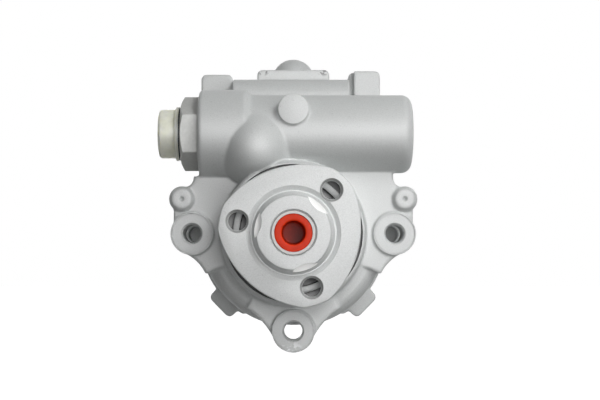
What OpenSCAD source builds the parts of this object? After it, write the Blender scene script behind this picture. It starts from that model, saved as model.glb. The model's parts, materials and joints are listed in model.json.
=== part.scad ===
// Vane pump for power steering, with its flow control valve in a chest above the barrel.
// The shaft runs along Y and the drive flange faces -Y. Z is up and X is to the right of
// someone who looks at the drive flange. The origin is the point where the shaft axis
// meets the plane of the mounting ear faces. All sizes are in millimetres.

/* [Mounting ears] */
// Distance between the two side mounting holes
ear_span = 94; // [92:1:104]
// Diameter of every mounting hole
ear_hole_d = 8.5; // [6:0.5:10]
// Diameter of the machined face round a mounting hole
ear_face_d = 18.8; // [16:0.2:20]
// Width of the cast rim left outside that face
ear_rim = 0.5; // [0.3:0.1:1]
// Depth that the machined face lies below the cast rim
ear_face_sink = 0.3; // [0.2:0.1:0.6]
// Depth of a side ear, front to back
side_ear_t = 20; // [16:1:24]
// Gap between a side ear and the rear lug behind it
rear_lug_gap = 10; // [8:0.5:13]
// Thread diameter of the blind hole in a rear lug
rear_lug_hole_d = 8; // [6:1:8]
// Depth of the blind hole in a rear lug
rear_lug_hole_t = 10; // [8:0.5:14]
// Drop of the bottom mounting hole below the shaft axis
bottom_ear_drop = 45; // [44:0.5:52]
// Depth of the bottom ear, front to back
bottom_ear_t = 10; // [8:1:14]
// Radius of the hollow that blends a side ear into the barrel
side_flank_r = 20; // [14:1:28]
// Radius of the hollow that blends the bottom ear into the barrel
bottom_flank_r = 36; // [20:1:44]

/* [Body casting] */
// Diameter of the nose behind the drive flange
nose_d = 66; // [62:1:70]
// Reach of the nose in front of the ear faces
nose_reach = 14; // [12:0.5:18]
// Growth of the nose radius towards the barrel, for casting draft
nose_draft = 0.8; // [0.2:0.2:1.6]
// Diameter of the recess in the nose in front of the shaft seal
nose_recess_d = 48.4; // [44:0.2:50]
// Depth of that recess
nose_recess_t = 5; // [3:0.5:6]
// Inside diameter of the groove in the nose face
nose_groove_d = 55.2; // [53:0.2:56]
// Width of the groove in the nose face
nose_groove_w = 3.6; // [2:0.2:4]
// Depth of the groove in the nose face
nose_groove_t = 4; // [2:0.5:6]
// Chamfer round the front of the nose
nose_chamfer = 1.2; // [0.6:0.2:2]
// Diameter of the barrel round the vane set
barrel_d = 82; // [78:1:84]
// Diameter of the skirt round the lower half of the barrel
skirt_d = 87; // [85:0.5:90]
// Rounding of the skirt's front edge
skirt_round = 7; // [4:0.5:8]
// Height of the skirt's upper edge below the shaft
skirt_drop = 10.5; // [10.5:0.5:20]
// Setback of the barrel's front shoulder behind the ear faces
shoulder_setback = 1; // [0:0.5:4]
// Setback of the flat webs behind the ear faces
web_setback = 0.8; // [0.6:0.1:3]
// Thickness of the flat webs
web_t = 14; // [10:1:18]
// Half width of the neck between the valve chest and the webs
neck_x = 46.5; // [43:0.5:48]
// Radius of the hollow in that neck
neck_r = 4; // [3:0.5:5]
// Distance of a dimpled boss from the middle plane
dimple_x = 51.8; // [50:0.2:56]
// Height of a dimpled boss above the shaft axis
dimple_z = 16.1; // [13:0.1:17]
// Diameter of a dimpled boss at its face
dimple_boss_d = 10.4; // [8:0.2:12]
// Reach of a dimpled boss in front of the ear faces
dimple_reach = 1; // [0.5:0.5:3]

/* [Rear flange and cover] */
// Diameter of the flange that carries the rear cover
rear_flange_d = 93; // [88:1:98]
// Width of that flange between its upper lugs
rear_neck_w = 74; // [70:1:80]
// Height of the flat under that flange, measured down from the shaft axis
rear_flange_flat = 39; // [37:0.5:41]
// Thickness of the flange on the body
rear_flange_t = 10; // [8:1:14]
// Thickness of the rear cover plate
cover_t = 10; // [8:1:14]
// Depth of the cover's pilot inside the chamber
cover_pilot = 2; // [1.5:0.5:4]
// Distance of the upper left lug from the middle plane
left_lug_x = 38; // [35:0.2:40]
// Distance of the upper right lug from the middle plane
right_lug_x = 35.4; // [34:0.2:38]
// Width of an upper lug
upper_lug_w = 15.6; // [13:0.2:18]
// Height of the upper left lug above the shaft axis
left_lug_top = 79.8; // [75:0.2:82]
// Height of the upper right lug above the shaft axis
right_lug_top = 81.6; // [75:0.2:84]
// Width of the step cut beside the upper right lug
lug_step_w = 2.6; // [1.5:0.1:4]
// Depth of that step
lug_step_t = 5; // [3:0.5:7]
// Angle of the lower lugs below the horizontal
lower_lug_angle = 44.5; // [40:0.5:50]
// Distance from the shaft axis to the end of a lower lug
lower_lug_reach = 51.5; // [49:0.5:56]
// Width of a lower lug
lower_lug_w = 15; // [13:0.5:18]
// Rounding of the corners of the lugs
lug_corner = 2.6; // [1:0.2:4]
// Thread diameter of the cover bolts
cover_bolt_d = 6; // [5:1:8]
// Width across the flats of a cover bolt head
cover_bolt_af = 10; // [8:1:13]

/* [Suction gallery] */
// Width of the gallery block behind the valve chest
gallery_w = 57; // [52:1:60]
// Distance of the gallery block's middle to the left of the middle plane
gallery_shift = 1; // [0:0.5:3]
// Height of the top of the gallery block
gallery_top = 76.2; // [73:0.2:77]
// Depth of the gallery block in front of the rear flange
gallery_t = 16; // [12:1:18]
// Rounding of the block's front top edge
gallery_round = 9; // [5:0.5:11]
// Width of the pad on top of the rear flange
pad_w = 36; // [30:1:40]
// Height of the top of that pad
pad_top = 82.2; // [79:0.2:84]
// Diameter of the suction drillings
suction_d = 13; // [10:0.5:15]
// Height where the suction drilling crosses into the cover
suction_cross_z = 62; // [58:0.5:64]
// Height of the suction spigot above the shaft axis
spigot_z = 79.7; // [76:0.1:82]
// Diameter of the suction elbow
elbow_d = 22; // [20:0.5:25]
// Diameter of the hose spigot
spigot_d = 20; // [18:0.5:22]
// Bore of the hose spigot
spigot_bore_d = 15; // [12:0.5:16]
// Length of the hose spigot behind the elbow
spigot_len = 26; // [20:1:34]
// Chamfer at the end of the hose spigot
spigot_chamfer = 1; // [0.5:0.1:2]
// Length of the relief between the elbow and the hose spigot
spigot_relief = 2; // [1.5:0.5:5]

/* [Valve chest] */
// Diameter of the valve chest
chest_d = 36.6; // [34:0.2:38]
// Height of the valve axis above the shaft axis
chest_height = 46.8; // [45:0.1:48]
// Setback of the valve axis behind the ear faces
chest_setback = 6; // [4:0.5:10]
// Distance from the middle plane to the left face of the chest
chest_left = 43.9; // [43:0.1:50]
// Distance from the middle plane to the closed right end
chest_right = 55.2; // [54:0.2:60]
// Rounding of the closed right end
chest_end_r = 4.5; // [3:0.5:8]
// Diameter of the collar round the pressure union
collar_d = 41.4; // [40:0.2:44]
// Length of the collar
collar_len = 24.4; // [20:0.2:28]
// Length of the slope between collar and chest
collar_slope = 3; // [2:0.5:5]
// Radius of the ball shaped bulge over the pressure drilling
bulge_r = 18; // [16:0.5:18.5]
// Distance of the bulge to the left of the middle plane
bulge_x = 17.5; // [15:0.5:20]
// Height of the bulge centre
bulge_z = 40; // [37:0.5:42]
// Setback of the bulge centre behind the ear faces
bulge_setback = 0; // [-1:0.5:4]
// Diameter of the round pad on the front of the chest
chest_pad_d = 14; // [11:0.5:16]
// Height of that pad
chest_pad_z = 56.5; // [55:0.5:59]
// Reach of the pad's face in front of the chest
chest_pad_reach = 0.6; // [0.2:0.1:1.2]

/* [Flow control valve] */
// Diameter of the valve bore
valve_bore_d = 16; // [13:0.5:18]
// Thickness of the wall at the blind end of the valve bore
valve_end_wall = 8.5; // [7:0.5:11]
// Length of the spool's stop nose
spool_nose = 6.9; // [6.2:0.1:8]
// Length of the spool's first land
spool_land = 11; // [10:0.5:13]
// Length of the spool's neck
spool_neck = 10; // [8:0.5:12]
// Length of the spool's second land
spool_tail = 10; // [9:0.5:12]
// Wire diameter of the flow control spring
flow_wire_d = 1.4; // [1:0.1:1.8]
// Diameter of the relief chamber in the spool
relief_bore_d = 8; // [7:0.5:9]
// Length of the relief seat screw
relief_seat_len = 5; // [4:0.5:6]
// Wire diameter of the relief spring
relief_wire_d = 0.8; // [0.6:0.1:1]

/* [Pressure union and transit cap] */
// Width across the flats of the union's hexagon
hex_af = 30.3; // [27:0.1:32]
// Turn of the hexagon about the valve axis
hex_turn = 4; // [0:1:59]
// Length of the hexagon
hex_len = 8.3; // [7:0.1:11]
// Thread diameter of the union
union_thread_d = 22; // [20:0.5:24]
// Length of the union's thread in the chest
union_thread_len = 22; // [20:0.5:23]
// Diameter of the pressure port in the union
port_d = 14; // [12:0.5:16]
// Depth of the pressure port
port_depth = 22; // [18:0.5:25]
// Diameter of the cap's head
cap_d = 22.8; // [20:0.2:24]
// Length of the cap's head
cap_len = 7.8; // [6:0.1:12]
// Diameter of the cap's rim
cap_rim_d = 25.2; // [24:0.2:27]
// Thickness of the cap's rim
cap_rim_t = 1.7; // [1.2:0.1:2.4]
// Length of the cap's stem inside the port
cap_stem_len = 7; // [5:0.5:12]
// Diameter of the ring under the cap
cap_ring_d = 24.4; // [23:0.2:26]
// Thickness of the ring under the cap
cap_ring_t = 1; // [0.8:0.1:2]

/* [Drive flange] */
// Distance from the ear faces forward to the flange face
flange_reach = 24; // [23:0.5:28]
// Thickness of the flange plate
flange_t = 6; // [5:0.5:7]
// Distance from the axis to the end of a flange lobe
flange_lobe_r = 33.6; // [32:0.2:36]
// Distance from the axis to the middle of a flange side
flange_waist_r = 29.7; // [28:0.2:31]
// Radius of curvature of a flange side
flange_side_r = 45; // [40:1:60]
// Angle of the first flange hole above the horizontal
flange_turn = 48.4; // [0:0.2:90]
// Circle on which the pulley bolts lie
pulley_pcd = 51; // [50:0.5:54]
// Diameter of the pulley bolt holes
pulley_hole_d = 8.4; // [6:0.2:8.6]
// Chamfer of the pulley bolt holes
pulley_hole_chamfer = 1; // [0.3:0.1:1.2]
// Height of the centre boss
boss_h = 5; // [3.5:0.5:7]
// Diameter of the centre boss at its face
boss_face_d = 33.2; // [30:0.2:35]
// Diameter of the centre boss at its foot
boss_foot_d = 37.2; // [36:0.2:39]
// Diameter of the shallow cone round the boss
boss_cone_d = 42.4; // [41:0.2:42.6]
// Height of the shallow cone
boss_cone_h = 0.8; // [0.4:0.1:1.4]
// Diameter of the washer faces that notch the boss
washer_face_d = 22; // [18:0.2:23]
// Depth of the washer faces below the boss face
washer_face_sink = 2.1; // [1:0.1:3]
// Diameter of the sleeve behind the flange plate
sleeve_d = 28; // [25:0.5:31]

/* [Shaft] */
// Diameter of the shaft in the flange and the seal
shaft_d = 20; // [19:0.5:22]
// Diameter of the front journal
journal_d = 18; // [17.5:0.5:18.5]
// Outside diameter of the splines
spline_d = 16.4; // [15:0.2:17]
// Depth of the splines
spline_depth = 0.9; // [0.6:0.1:1.2]
// Diameter of the rear journal
tail_d = 12; // [10:0.5:13]
// Wall of the bearing bushes
bush_wall = 2; // [1.5:0.25:2.5]
// Outside diameter of the shaft seal
seal_d = 32; // [30:0.5:35]
// Width of the shaft seal
seal_w = 7; // [6:0.5:8]
// Diameter of the plug in the end of the shaft
plug_d = 17; // [15:0.5:17.5]
// Length of that plug
plug_len = 12; // [9:0.5:16]
// Diameter of the hollow in the plug
plug_hollow_d = 10.2; // [8:0.2:12]
// Depth of the hollow in the plug
plug_hollow_t = 7; // [4:0.5:8]

/* [Vane set] */
// Diameter of the vane chamber
chamber_d = 62; // [60:0.5:66]
// Setback of the chamber floor behind the ear faces
chamber_setback = 14; // [13:0.5:16]
// Thickness of the front side plate
front_plate_t = 6; // [5:0.5:8]
// Width of the cam ring
cam_w = 16; // [14:0.5:20]
// Thickness of the pressure plate
pressure_plate_t = 7; // [6:0.5:9]
// Height of the plate spring
plate_spring_h = 3; // [2.5:0.25:4]
// Diameter of the rotor
rotor_d = 40; // [38:0.5:41]
// Lift of the cam between its short and long radius
cam_lift = 2.5; // [1.5:0.1:3]
// Thickness of a vane
vane_t = 1.8; // [1.4:0.1:2.2]
// Height of a vane
vane_h = 8; // [6.5:0.25:8.5]
// Free depth of a slot below its vane
vane_play = 1.2; // [1.1:0.1:1.4]
// Diameter of the locating pins
pin_d = 4; // [3:0.5:5]
// Circle on which the locating pins lie
pin_pcd = 51; // [50:0.5:52]

/* [Fits] */
// Radial clearance of a piece that runs or slides in another
running_fit = 0.03; // [0.02:0.01:0.06]
// Radial clearance of a piece that is seated in another
seat_fit = 0.02; // [0.01:0.01:0.05]
// Clearance between the vane tips, the rotor and the cam's short radius
tip_fit = 0.05; // [0.03:0.01:0.08]
// Section diameter of the large sealing rings
ring_d = 1.8; // [1.4:0.1:2]

/* [Hidden] */
$fn = 72;
eps = 0.01;
over = 1;

vane_count = 10;
vane_step = 360 / vane_count;
vane_offset = vane_step / 2;
pulley_hole_count = 3;
lobe_step = 360 / pulley_hole_count;
spline_count = 12;
spline_share = 0.5;

function two_digits(i) = i < 10 ? str("0", i) : str(i);
function vane_name(i) = str("vane_", two_digits(i));
function arc(cx, cy, r, a0, a1, n = 6) =
    [for (i = [0:n]) let (a = a0 + (a1 - a0) * i / n) [cx + r * cos(a), cy + r * sin(a)]];

// Places along the shaft axis, from the drive end to the rear
boss_y = -flange_reach - boss_h;
flange_back_y = -flange_reach + flange_t;
shaft_sink = 0.4;
shaft_front_y = boss_y + shaft_sink;
seal_front_y = -nose_reach + nose_recess_t + 0.5;
seal_seat_y = seal_front_y + seal_w;
sleeve_back_y = seal_front_y - 0.8;
journal_y = seal_seat_y + 0.3;
front_bush_y = journal_y + 0.4;
floor_y = chamber_setback;
cam_y = floor_y + front_plate_t;
pressure_plate_y = cam_y + cam_w;
spring_y = pressure_plate_y + pressure_plate_t;
pilot_y = spring_y + plate_spring_h;
rear_y = pilot_y + cover_pilot;
cover_back_y = rear_y + cover_t;
flange_front_y = rear_y - rear_flange_t;
gallery_front_y = flange_front_y - gallery_t;
rear_bush_y = pilot_y + 0.5;
rear_bush_len = cover_t - 0.5;
tail_end_y = rear_bush_y + rear_bush_len - 0.5;

// Body
ear_x = ear_span / 2;
ear_r = ear_face_d / 2 + ear_rim;
nose_r = nose_d / 2;
nose_base_r = nose_r + nose_draft;
barrel_r = barrel_d / 2;
shoulder_r = barrel_r - nose_base_r;
web_back_y = web_setback + web_t;
skirt_r = skirt_d / 2;
skirt_setback = shoulder_setback + 0.6;
skirt_taper = 4;
flank_base_r = skirt_r + 1.5;
blend_sink = 0.25;
rib_x = ear_x + ear_r - 1.3;
rear_lug_y = side_ear_t + rear_lug_gap;
dimple_r = dimple_boss_d / 2;
dimple_foot_r = dimple_r + 0.8;
dimple_chamfer = 0.8;
dimple_hole_r = 1.2;
dimple_hole_t = 1;
chamber_r = chamber_d / 2;
front_bush_d = journal_d + 2 * bush_wall;
rear_bush_d = tail_d + 2 * bush_wall;
pressure_groove_t = 2;
pressure_y = floor_y - pressure_groove_t - 1.4;
suction_recess = 4;
suction_foot_z = chamber_r + 1.5;

// Flow control valve, along X from the pressure union to the blind end
chest_r = chest_d / 2;
collar_r = collar_d / 2;
union_end_x = -chest_left + union_thread_len;
spool_x = union_end_x + 0.1;
land_x = spool_x + spool_nose;
neck_start_x = land_x + spool_land;
tail_x = neck_start_x + spool_neck;
spool_end_x = tail_x + spool_tail;
blind_x = chest_right - valve_end_wall;
pressure_d = 6;
pressure_x = land_x - pressure_d / 2;
bypass_d = 7;
bypass_x = land_x + spool_land / 2;
seat_x = spool_end_x - relief_seat_len;
poppet_len = 4;
poppet_x = seat_x - poppet_len;
relief_floor_x = land_x + spool_land + 1;
seat_hole_d = 1.6;
hex_x = -chest_left - hex_len;
cap_ring_x = hex_x - cap_ring_t;
cap_rim_x = cap_ring_x - cap_rim_t;
cap_end_x = cap_rim_x - cap_len;
small_ring_d = 1.6;
small_groove_w = small_ring_d + 0.3;
union_groove_x = -chest_left + 1.5;

// Suction side
suction_y = rear_y - suction_d / 2 - 5;
elbow_y = rear_y + elbow_d / 2 + 1;
spigot_end_y = elbow_y + elbow_d / 2 + spigot_len;
spigot_wall_y = elbow_y + elbow_d / 2 + spigot_relief;
spigot_relief_r = spigot_d / 2 - 0.4;
suction_ring_r = suction_d / 2 + 2.2;
cover_ring_r = chamber_r + 3;
ring_groove_w = ring_d + 0.3;
ring_groove_t = ring_d + 0.05;
gallery_shelf = gallery_top - 3;

// Vane set
rotor_r = rotor_d / 2;
plate_r = chamber_r - seat_fit;
notch_t = 2.5;
plate_groove_y = spring_y - 1 - small_groove_w;
cam_short_r = rotor_r + 3 * tip_fit;
vane_tip_r = cam_short_r - tip_fit;
vane_foot_r = vane_tip_r - vane_h;
slot_end_r = vane_foot_r - vane_play;
slot_bulb_r = 1.3;
spline_r = spline_d / 2;
spline_root_r = spline_r - spline_depth;
spline_w = 2 * PI * spline_r / spline_count * spline_share;
rotor_len = cam_w - 2 * tip_fit;
plate_hole_r = spline_r + 1.8;
clip_r = spline_r + 1;
clip_t = 1.1;
port_in_r = rotor_r - 1.6;
port_out_r = rotor_r + 2.2;
port_span = 40;

// Centres of the cover bolts, as [x, z]
lower_bolt_r = lower_lug_reach - 0.4 * lower_lug_w;
lower_bolt = lower_bolt_r * [cos(lower_lug_angle), -sin(lower_lug_angle)];
cover_bolt_at = [
    [-left_lug_x, left_lug_top - upper_lug_w / 2],
    [right_lug_x, right_lug_top - upper_lug_w / 2],
    [-lower_bolt[0], lower_bolt[1]],
    [lower_bolt[0], lower_bolt[1]]];
cover_bolt_depth = rear_flange_t - 2.5;
cover_bolt_head = 0.6 * cover_bolt_d;

// Extrudes an outline drawn as [x, z] from y0 to y1.
module along_y(y0, y1) {
    translate([0, y1, 0]) rotate([90, 0, 0]) linear_extrude(y1 - y0) children();
}

// Extrudes an outline drawn as [y, z] from x0 to x1.
module along_x(x0, x1) {
    translate([x0, 0, 0]) rotate([90, 0, 90]) linear_extrude(x1 - x0) children();
}

// Turns a profile drawn as [radius, y] about an axis along Y.
module turned_y(x = 0, z = 0) {
    translate([x, 0, z]) rotate([-90, 0, 0]) rotate_extrude() children();
}

// Turns a profile drawn as [radius, x] about the valve axis.
module turned_x() {
    translate([0, chest_setback, chest_height]) rotate([0, 90, 0]) rotate_extrude() children();
}

module drill_x(d, x0, x1, y, z) {
    translate([x0, y, z]) rotate([0, 90, 0]) cylinder(d = d, h = x1 - x0);
}

module drill_y(d, y0, y1, x = 0, z = 0) {
    translate([x, y0, z]) rotate([-90, 0, 0]) cylinder(d = d, h = y1 - y0);
}

module drill_z(d, z0, z1, x, y) {
    translate([x, y, z0]) cylinder(d = d, h = z1 - z0);
}

module both_sides() {
    children();
    mirror([1, 0, 0]) children();
}

// Outline between the barrel and an ear at [d, 0], hollowed on its lower side.
module ear_flank(d, base_r, hollow_r) {
    to_base = base_r - blend_sink + hollow_r;
    to_ear = ear_r - blend_sink + hollow_r;
    along = (d * d + to_base * to_base - to_ear * to_ear) / (2 * d);
    across = sqrt(to_base * to_base - along * along);
    polygon(concat([[0, 0]],
        arc(along, -across, hollow_r, atan2(across, -along), atan2(across, d - along), 8),
        [[d, 0]]));
}

// Outline of the web between the valve chest, a dimpled boss and a side ear.
module upper_web() {
    cx = neck_x + neck_r;
    reach = dimple_foot_r - blend_sink + neck_r;
    cz = dimple_z + sqrt(pow(reach, 2) - pow(cx - dimple_x, 2));
    polygon(concat([[0, 0], [0, chest_height], [neck_x, chest_height]],
        arc(cx, cz, neck_r, 180, 360 + atan2(dimple_z - cz, dimple_x - cx)),
        [[dimple_x, dimple_z], [rib_x, dimple_z], [rib_x, 0]]));
}

// A lug that ends at [0, top], with its two outer corners rounded.
module lug_outline(w, foot, top) {
    c = lug_corner;
    polygon(concat([[-w / 2, foot], [w / 2, foot]],
        arc(w / 2 - c, top - c, c, 0, 90, 4),
        arc(-w / 2 + c, top - c, c, 90, 180, 4)));
}

// Outline that the rear flange of the body and the cover share.
module rear_outline() {
    intersection() {
        circle(d = rear_flange_d);
        translate([-rear_flange_d, -rear_flange_flat]) square(2 * rear_flange_d);
    }
    translate([-rear_neck_w / 2, 0]) square([rear_neck_w, gallery_shelf]);
    translate([-left_lug_x, 0]) lug_outline(upper_lug_w, chest_height, left_lug_top);
    translate([right_lug_x, 0]) lug_outline(upper_lug_w, chest_height, right_lug_top);
    for (side = [-1, 1])
        rotate(side * (90 + lower_lug_angle)) lug_outline(lower_lug_w, chamber_r + 2, lower_lug_reach);
}

// Nose, shoulder and barrel as one turned profile.
module barrel_profile() {
    polygon(concat(
        [[0, -nose_reach], [nose_r - nose_chamfer, -nose_reach], [nose_r, -nose_reach + nose_chamfer]],
        arc(nose_base_r, shoulder_setback + shoulder_r, shoulder_r, -90, 0),
        [[barrel_r, rear_y], [0, rear_y]]));
}

// Section of the skirt, with its rounded front edge and its taper towards the rear flange.
module skirt_profile() {
    polygon(concat(
        [[chamber_r, skirt_setback]],
        arc(skirt_r - skirt_round, skirt_setback + skirt_round, skirt_round, -90, 0),
        [[skirt_r, flange_front_y - skirt_taper], [skirt_r - skirt_taper, flange_front_y + blend_sink],
         [chamber_r, flange_front_y + blend_sink]]));
}

// Skirt round the lower half of the barrel, from one side ear's flank to the other's.
module skirt() {
    difference() {
        turned_y() skirt_profile();
        translate([-skirt_d, -nose_reach, -skirt_drop]) cube([2 * skirt_d, rear_y + nose_reach, skirt_d]);
    }
}

// Outside of the valve chest, from the collar to its closed end.
module chest_profile() {
    edge = 1.2;
    collar_end = -chest_left + collar_len;
    polygon(concat(
        [[0, -chest_left], [collar_r - edge, -chest_left], [collar_r, -chest_left + edge],
         [collar_r, collar_end - collar_slope], [chest_r, collar_end]],
        arc(chest_r - chest_end_r, chest_right - chest_end_r, chest_end_r, 0, 90),
        [[0, chest_right]]));
}

// Side view of the gallery block, as [y, z].
module gallery_profile() {
    r = gallery_round;
    polygon(concat([[rear_y - over, 0], [gallery_front_y, 0]],
        arc(gallery_front_y + r, gallery_top - r, r, 180, 90),
        [[flange_front_y + over, gallery_top], [rear_y - over, gallery_shelf]]));
}

module ear_boss(x, z, t) {
    turned_y(x, z)
        polygon([[0, -ear_face_sink], [ear_r - ear_face_sink, -ear_face_sink], [ear_r, 0],
                 [ear_r, t], [0, t]]);
}

module dimple_boss() {
    turned_y(dimple_x, dimple_z)
        polygon([[0, -dimple_reach], [dimple_r - dimple_chamfer, -dimple_reach],
                 [dimple_r, -dimple_reach + dimple_chamfer], [dimple_foot_r, web_setback],
                 [dimple_foot_r, web_back_y], [0, web_back_y]]);
}

module body_outside() {
    turned_y() barrel_profile();
    skirt();
    both_sides() {
        along_y(web_setback, web_back_y) {
            upper_web();
            ear_flank(ear_x, flank_base_r, side_flank_r);
        }
        ear_boss(ear_x, 0, side_ear_t);
        dimple_boss();
    }
    along_y(web_setback, bottom_ear_t) rotate(-90) {
        ear_flank(bottom_ear_drop, barrel_r, bottom_flank_r);
        mirror([0, 1]) ear_flank(bottom_ear_drop, barrel_r, bottom_flank_r);
    }
    ear_boss(0, -bottom_ear_drop, bottom_ear_t);
    turned_x() chest_profile();
    translate([-bulge_x, bulge_setback, bulge_z]) sphere(r = bulge_r);
    drill_y(chest_pad_d, chest_setback - chest_r - chest_pad_reach, chest_setback, 0, chest_pad_z);
    along_x(-gallery_w / 2 - gallery_shift, gallery_w / 2 - gallery_shift) gallery_profile();
    along_y(flange_front_y, rear_y) {
        rear_outline();
        lug_outline(pad_w, chest_height, pad_top);
    }
    along_y(rear_lug_y, rear_y)
        for (side = [-1, 1])
            translate([side * ear_x, 0]) circle(r = ear_r);
}

// Bores for the seal, the front bush and the vane set, with the grooves in the nose and the floor.
module body_bores() {
    groove_out = chamber_r - 2;
    groove_in = plate_hole_r + 4;
    turned_y() polygon([
        [0, -nose_reach - over], [nose_recess_d / 2, -nose_reach - over],
        [nose_recess_d / 2, -nose_reach + nose_recess_t], [seal_d / 2, -nose_reach + nose_recess_t],
        [seal_d / 2, seal_seat_y],
        [front_bush_d / 2, seal_seat_y], [front_bush_d / 2, floor_y], [groove_in, floor_y],
        [groove_in, floor_y - pressure_groove_t], [groove_out, floor_y - pressure_groove_t],
        [groove_out, floor_y], [chamber_r, floor_y], [chamber_r, cam_y - notch_t],
        [chamber_r + suction_recess, cam_y], [chamber_r + suction_recess, pressure_plate_y],
        [chamber_r, pressure_plate_y + notch_t], [chamber_r, rear_y + over], [0, rear_y + over]]);
    turned_y()
        translate([nose_groove_d / 2, -nose_reach - over]) square([nose_groove_w, nose_groove_t + over]);
    for (side = [-1, 1])
        drill_y(pin_d, floor_y - pressure_groove_t - 2, floor_y + over, 0, side * pin_pcd / 2);
}

// Drillings that join the chamber, the valve and the suction gallery.
module body_passages() {
    foot_z = sqrt(pow(chamber_r - pressure_d, 2) - pow(pressure_x, 2));
    drill_z(pressure_d, foot_z, chest_height, pressure_x, pressure_y);
    drill_y(bypass_d, chest_setback, suction_y, bypass_x, chest_height);
    drill_x(bypass_d, bypass_x, 0, suction_y, chest_height);
    drill_z(suction_d, suction_foot_z, suction_cross_z, 0, suction_y);
    drill_y(suction_d, suction_y, rear_y + over, 0, suction_cross_z);
}

module pump_body() {
    color("#c9cdcc")
    difference() {
        body_outside();
        body_bores();
        body_passages();
        drill_x(collar_d, hex_x, -chest_left, chest_setback, chest_height);
        drill_x(union_thread_d, -chest_left - over, union_end_x, chest_setback, chest_height);
        drill_x(valve_bore_d, union_end_x - eps, blind_x, chest_setback, chest_height);
        for (side = [-1, 1]) {
            drill_y(ear_face_d, -over, 0, side * ear_x, 0);
            drill_y(ear_hole_d, -over, side_ear_t + over, side * ear_x, 0);
            drill_y(rear_lug_hole_d, rear_lug_y - over, rear_lug_y + rear_lug_hole_t, side * ear_x, 0);
            turned_y(side * dimple_x, dimple_z)
                polygon([[0, -dimple_reach - eps], [dimple_hole_r, -dimple_reach - eps],
                         [0, -dimple_reach + dimple_hole_t]]);
        }
        drill_y(ear_face_d, -over, 0, 0, -bottom_ear_drop);
        drill_y(ear_hole_d, -over, bottom_ear_t + over, 0, -bottom_ear_drop);
        for (p = cover_bolt_at)
            drill_y(cover_bolt_d, rear_y - cover_bolt_depth, rear_y + over, p[0], p[1]);
        translate([right_lug_x - upper_lug_w / 2 - over, flange_front_y - over, chest_height + chest_r])
            cube([lug_step_w + over, lug_step_t + over, chest_height]);
    }
}

// Outside of the suction elbow and hose spigot on the cover.
module elbow_outside() {
    translate([0, elbow_y, spigot_z]) sphere(d = elbow_d);
    drill_z(elbow_d - 0.4, suction_cross_z, spigot_z, 0, elbow_y);
    translate([0, elbow_y, suction_cross_z]) sphere(d = elbow_d - 0.4);
    turned_y(0, spigot_z) polygon([
        [0, elbow_y], [spigot_relief_r, elbow_y], [spigot_relief_r, spigot_wall_y - 1],
        [spigot_d / 2, spigot_wall_y], [spigot_d / 2, spigot_end_y - spigot_chamfer],
        [spigot_d / 2 - spigot_chamfer, spigot_end_y], [0, spigot_end_y]]);
}

module rear_cover() {
    bush_boss_r = rear_bush_d / 2 + 4;
    bush_boss_h = 5;
    color("#b9bdbd")
    difference() {
        union() {
            along_y(rear_y, cover_back_y) rear_outline();
            drill_y(chamber_d - 2 * seat_fit, pilot_y, rear_y + eps);
            turned_y() polygon([
                [0, rear_y], [bush_boss_r + 1, rear_y], [bush_boss_r + 1, cover_back_y],
                [bush_boss_r, cover_back_y + bush_boss_h - 1], [bush_boss_r - 1, cover_back_y + bush_boss_h],
                [0, cover_back_y + bush_boss_h]]);
            difference() {
                elbow_outside();
                translate([-elbow_d, rear_y - elbow_d, 0]) cube([2 * elbow_d, elbow_d, 2 * spigot_z]);
            }
        }
        drill_y(rear_bush_d, pilot_y - over, rear_bush_y + rear_bush_len);
        for (p = cover_bolt_at)
            drill_y(cover_bolt_d + 0.6, rear_y - over, cover_back_y + over, p[0], p[1]);
        drill_y(suction_d, rear_y - over, elbow_y, 0, suction_cross_z);
        drill_z(suction_d, suction_cross_z, spigot_z, 0, elbow_y);
        drill_y(spigot_bore_d, elbow_y, spigot_end_y + over, 0, spigot_z);
        face_groove(cover_ring_r, 0);
        face_groove(suction_ring_r, suction_cross_z);
    }
}

// Groove for a sealing ring in the front face of the cover.
module face_groove(r, z) {
    turned_y(0, z)
        translate([r - ring_groove_w / 2, rear_y - over]) square([ring_groove_w, ring_groove_t + over]);
}

module face_ring(r, z) {
    color("#222222") turned_y(0, z) translate([r, rear_y + ring_groove_t - ring_d / 2]) circle(d = ring_d);
}

module cover_oring() {
    face_ring(cover_ring_r, 0);
}

module suction_oring() {
    face_ring(suction_ring_r, suction_cross_z);
}

module cover_bolts() {
    washer_t = 1.2;
    color("#8f9497")
    for (p = cover_bolt_at) {
        drill_y(cover_bolt_d - 2 * seat_fit, rear_y - cover_bolt_depth + 1, cover_back_y + eps, p[0], p[1]);
        drill_y(1.2 * cover_bolt_af, cover_back_y, cover_back_y + washer_t, p[0], p[1]);
        translate([p[0], cover_back_y + washer_t - eps, p[1]]) rotate([-90, 0, 0])
            cylinder(d = cover_bolt_af / cos(30), h = cover_bolt_head, $fn = 6);
    }
}

// Rounded triangle of the drive flange: three shallow sides inside a round of the lobe radius.
module flange_outline() {
    intersection() {
        circle(r = flange_lobe_r);
        intersection_for (i = [0:pulley_hole_count - 1])
            rotate(flange_turn + lobe_step * (i + 0.5)) translate([flange_waist_r - flange_side_r, 0])
                circle(r = flange_side_r);
    }
}

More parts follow.
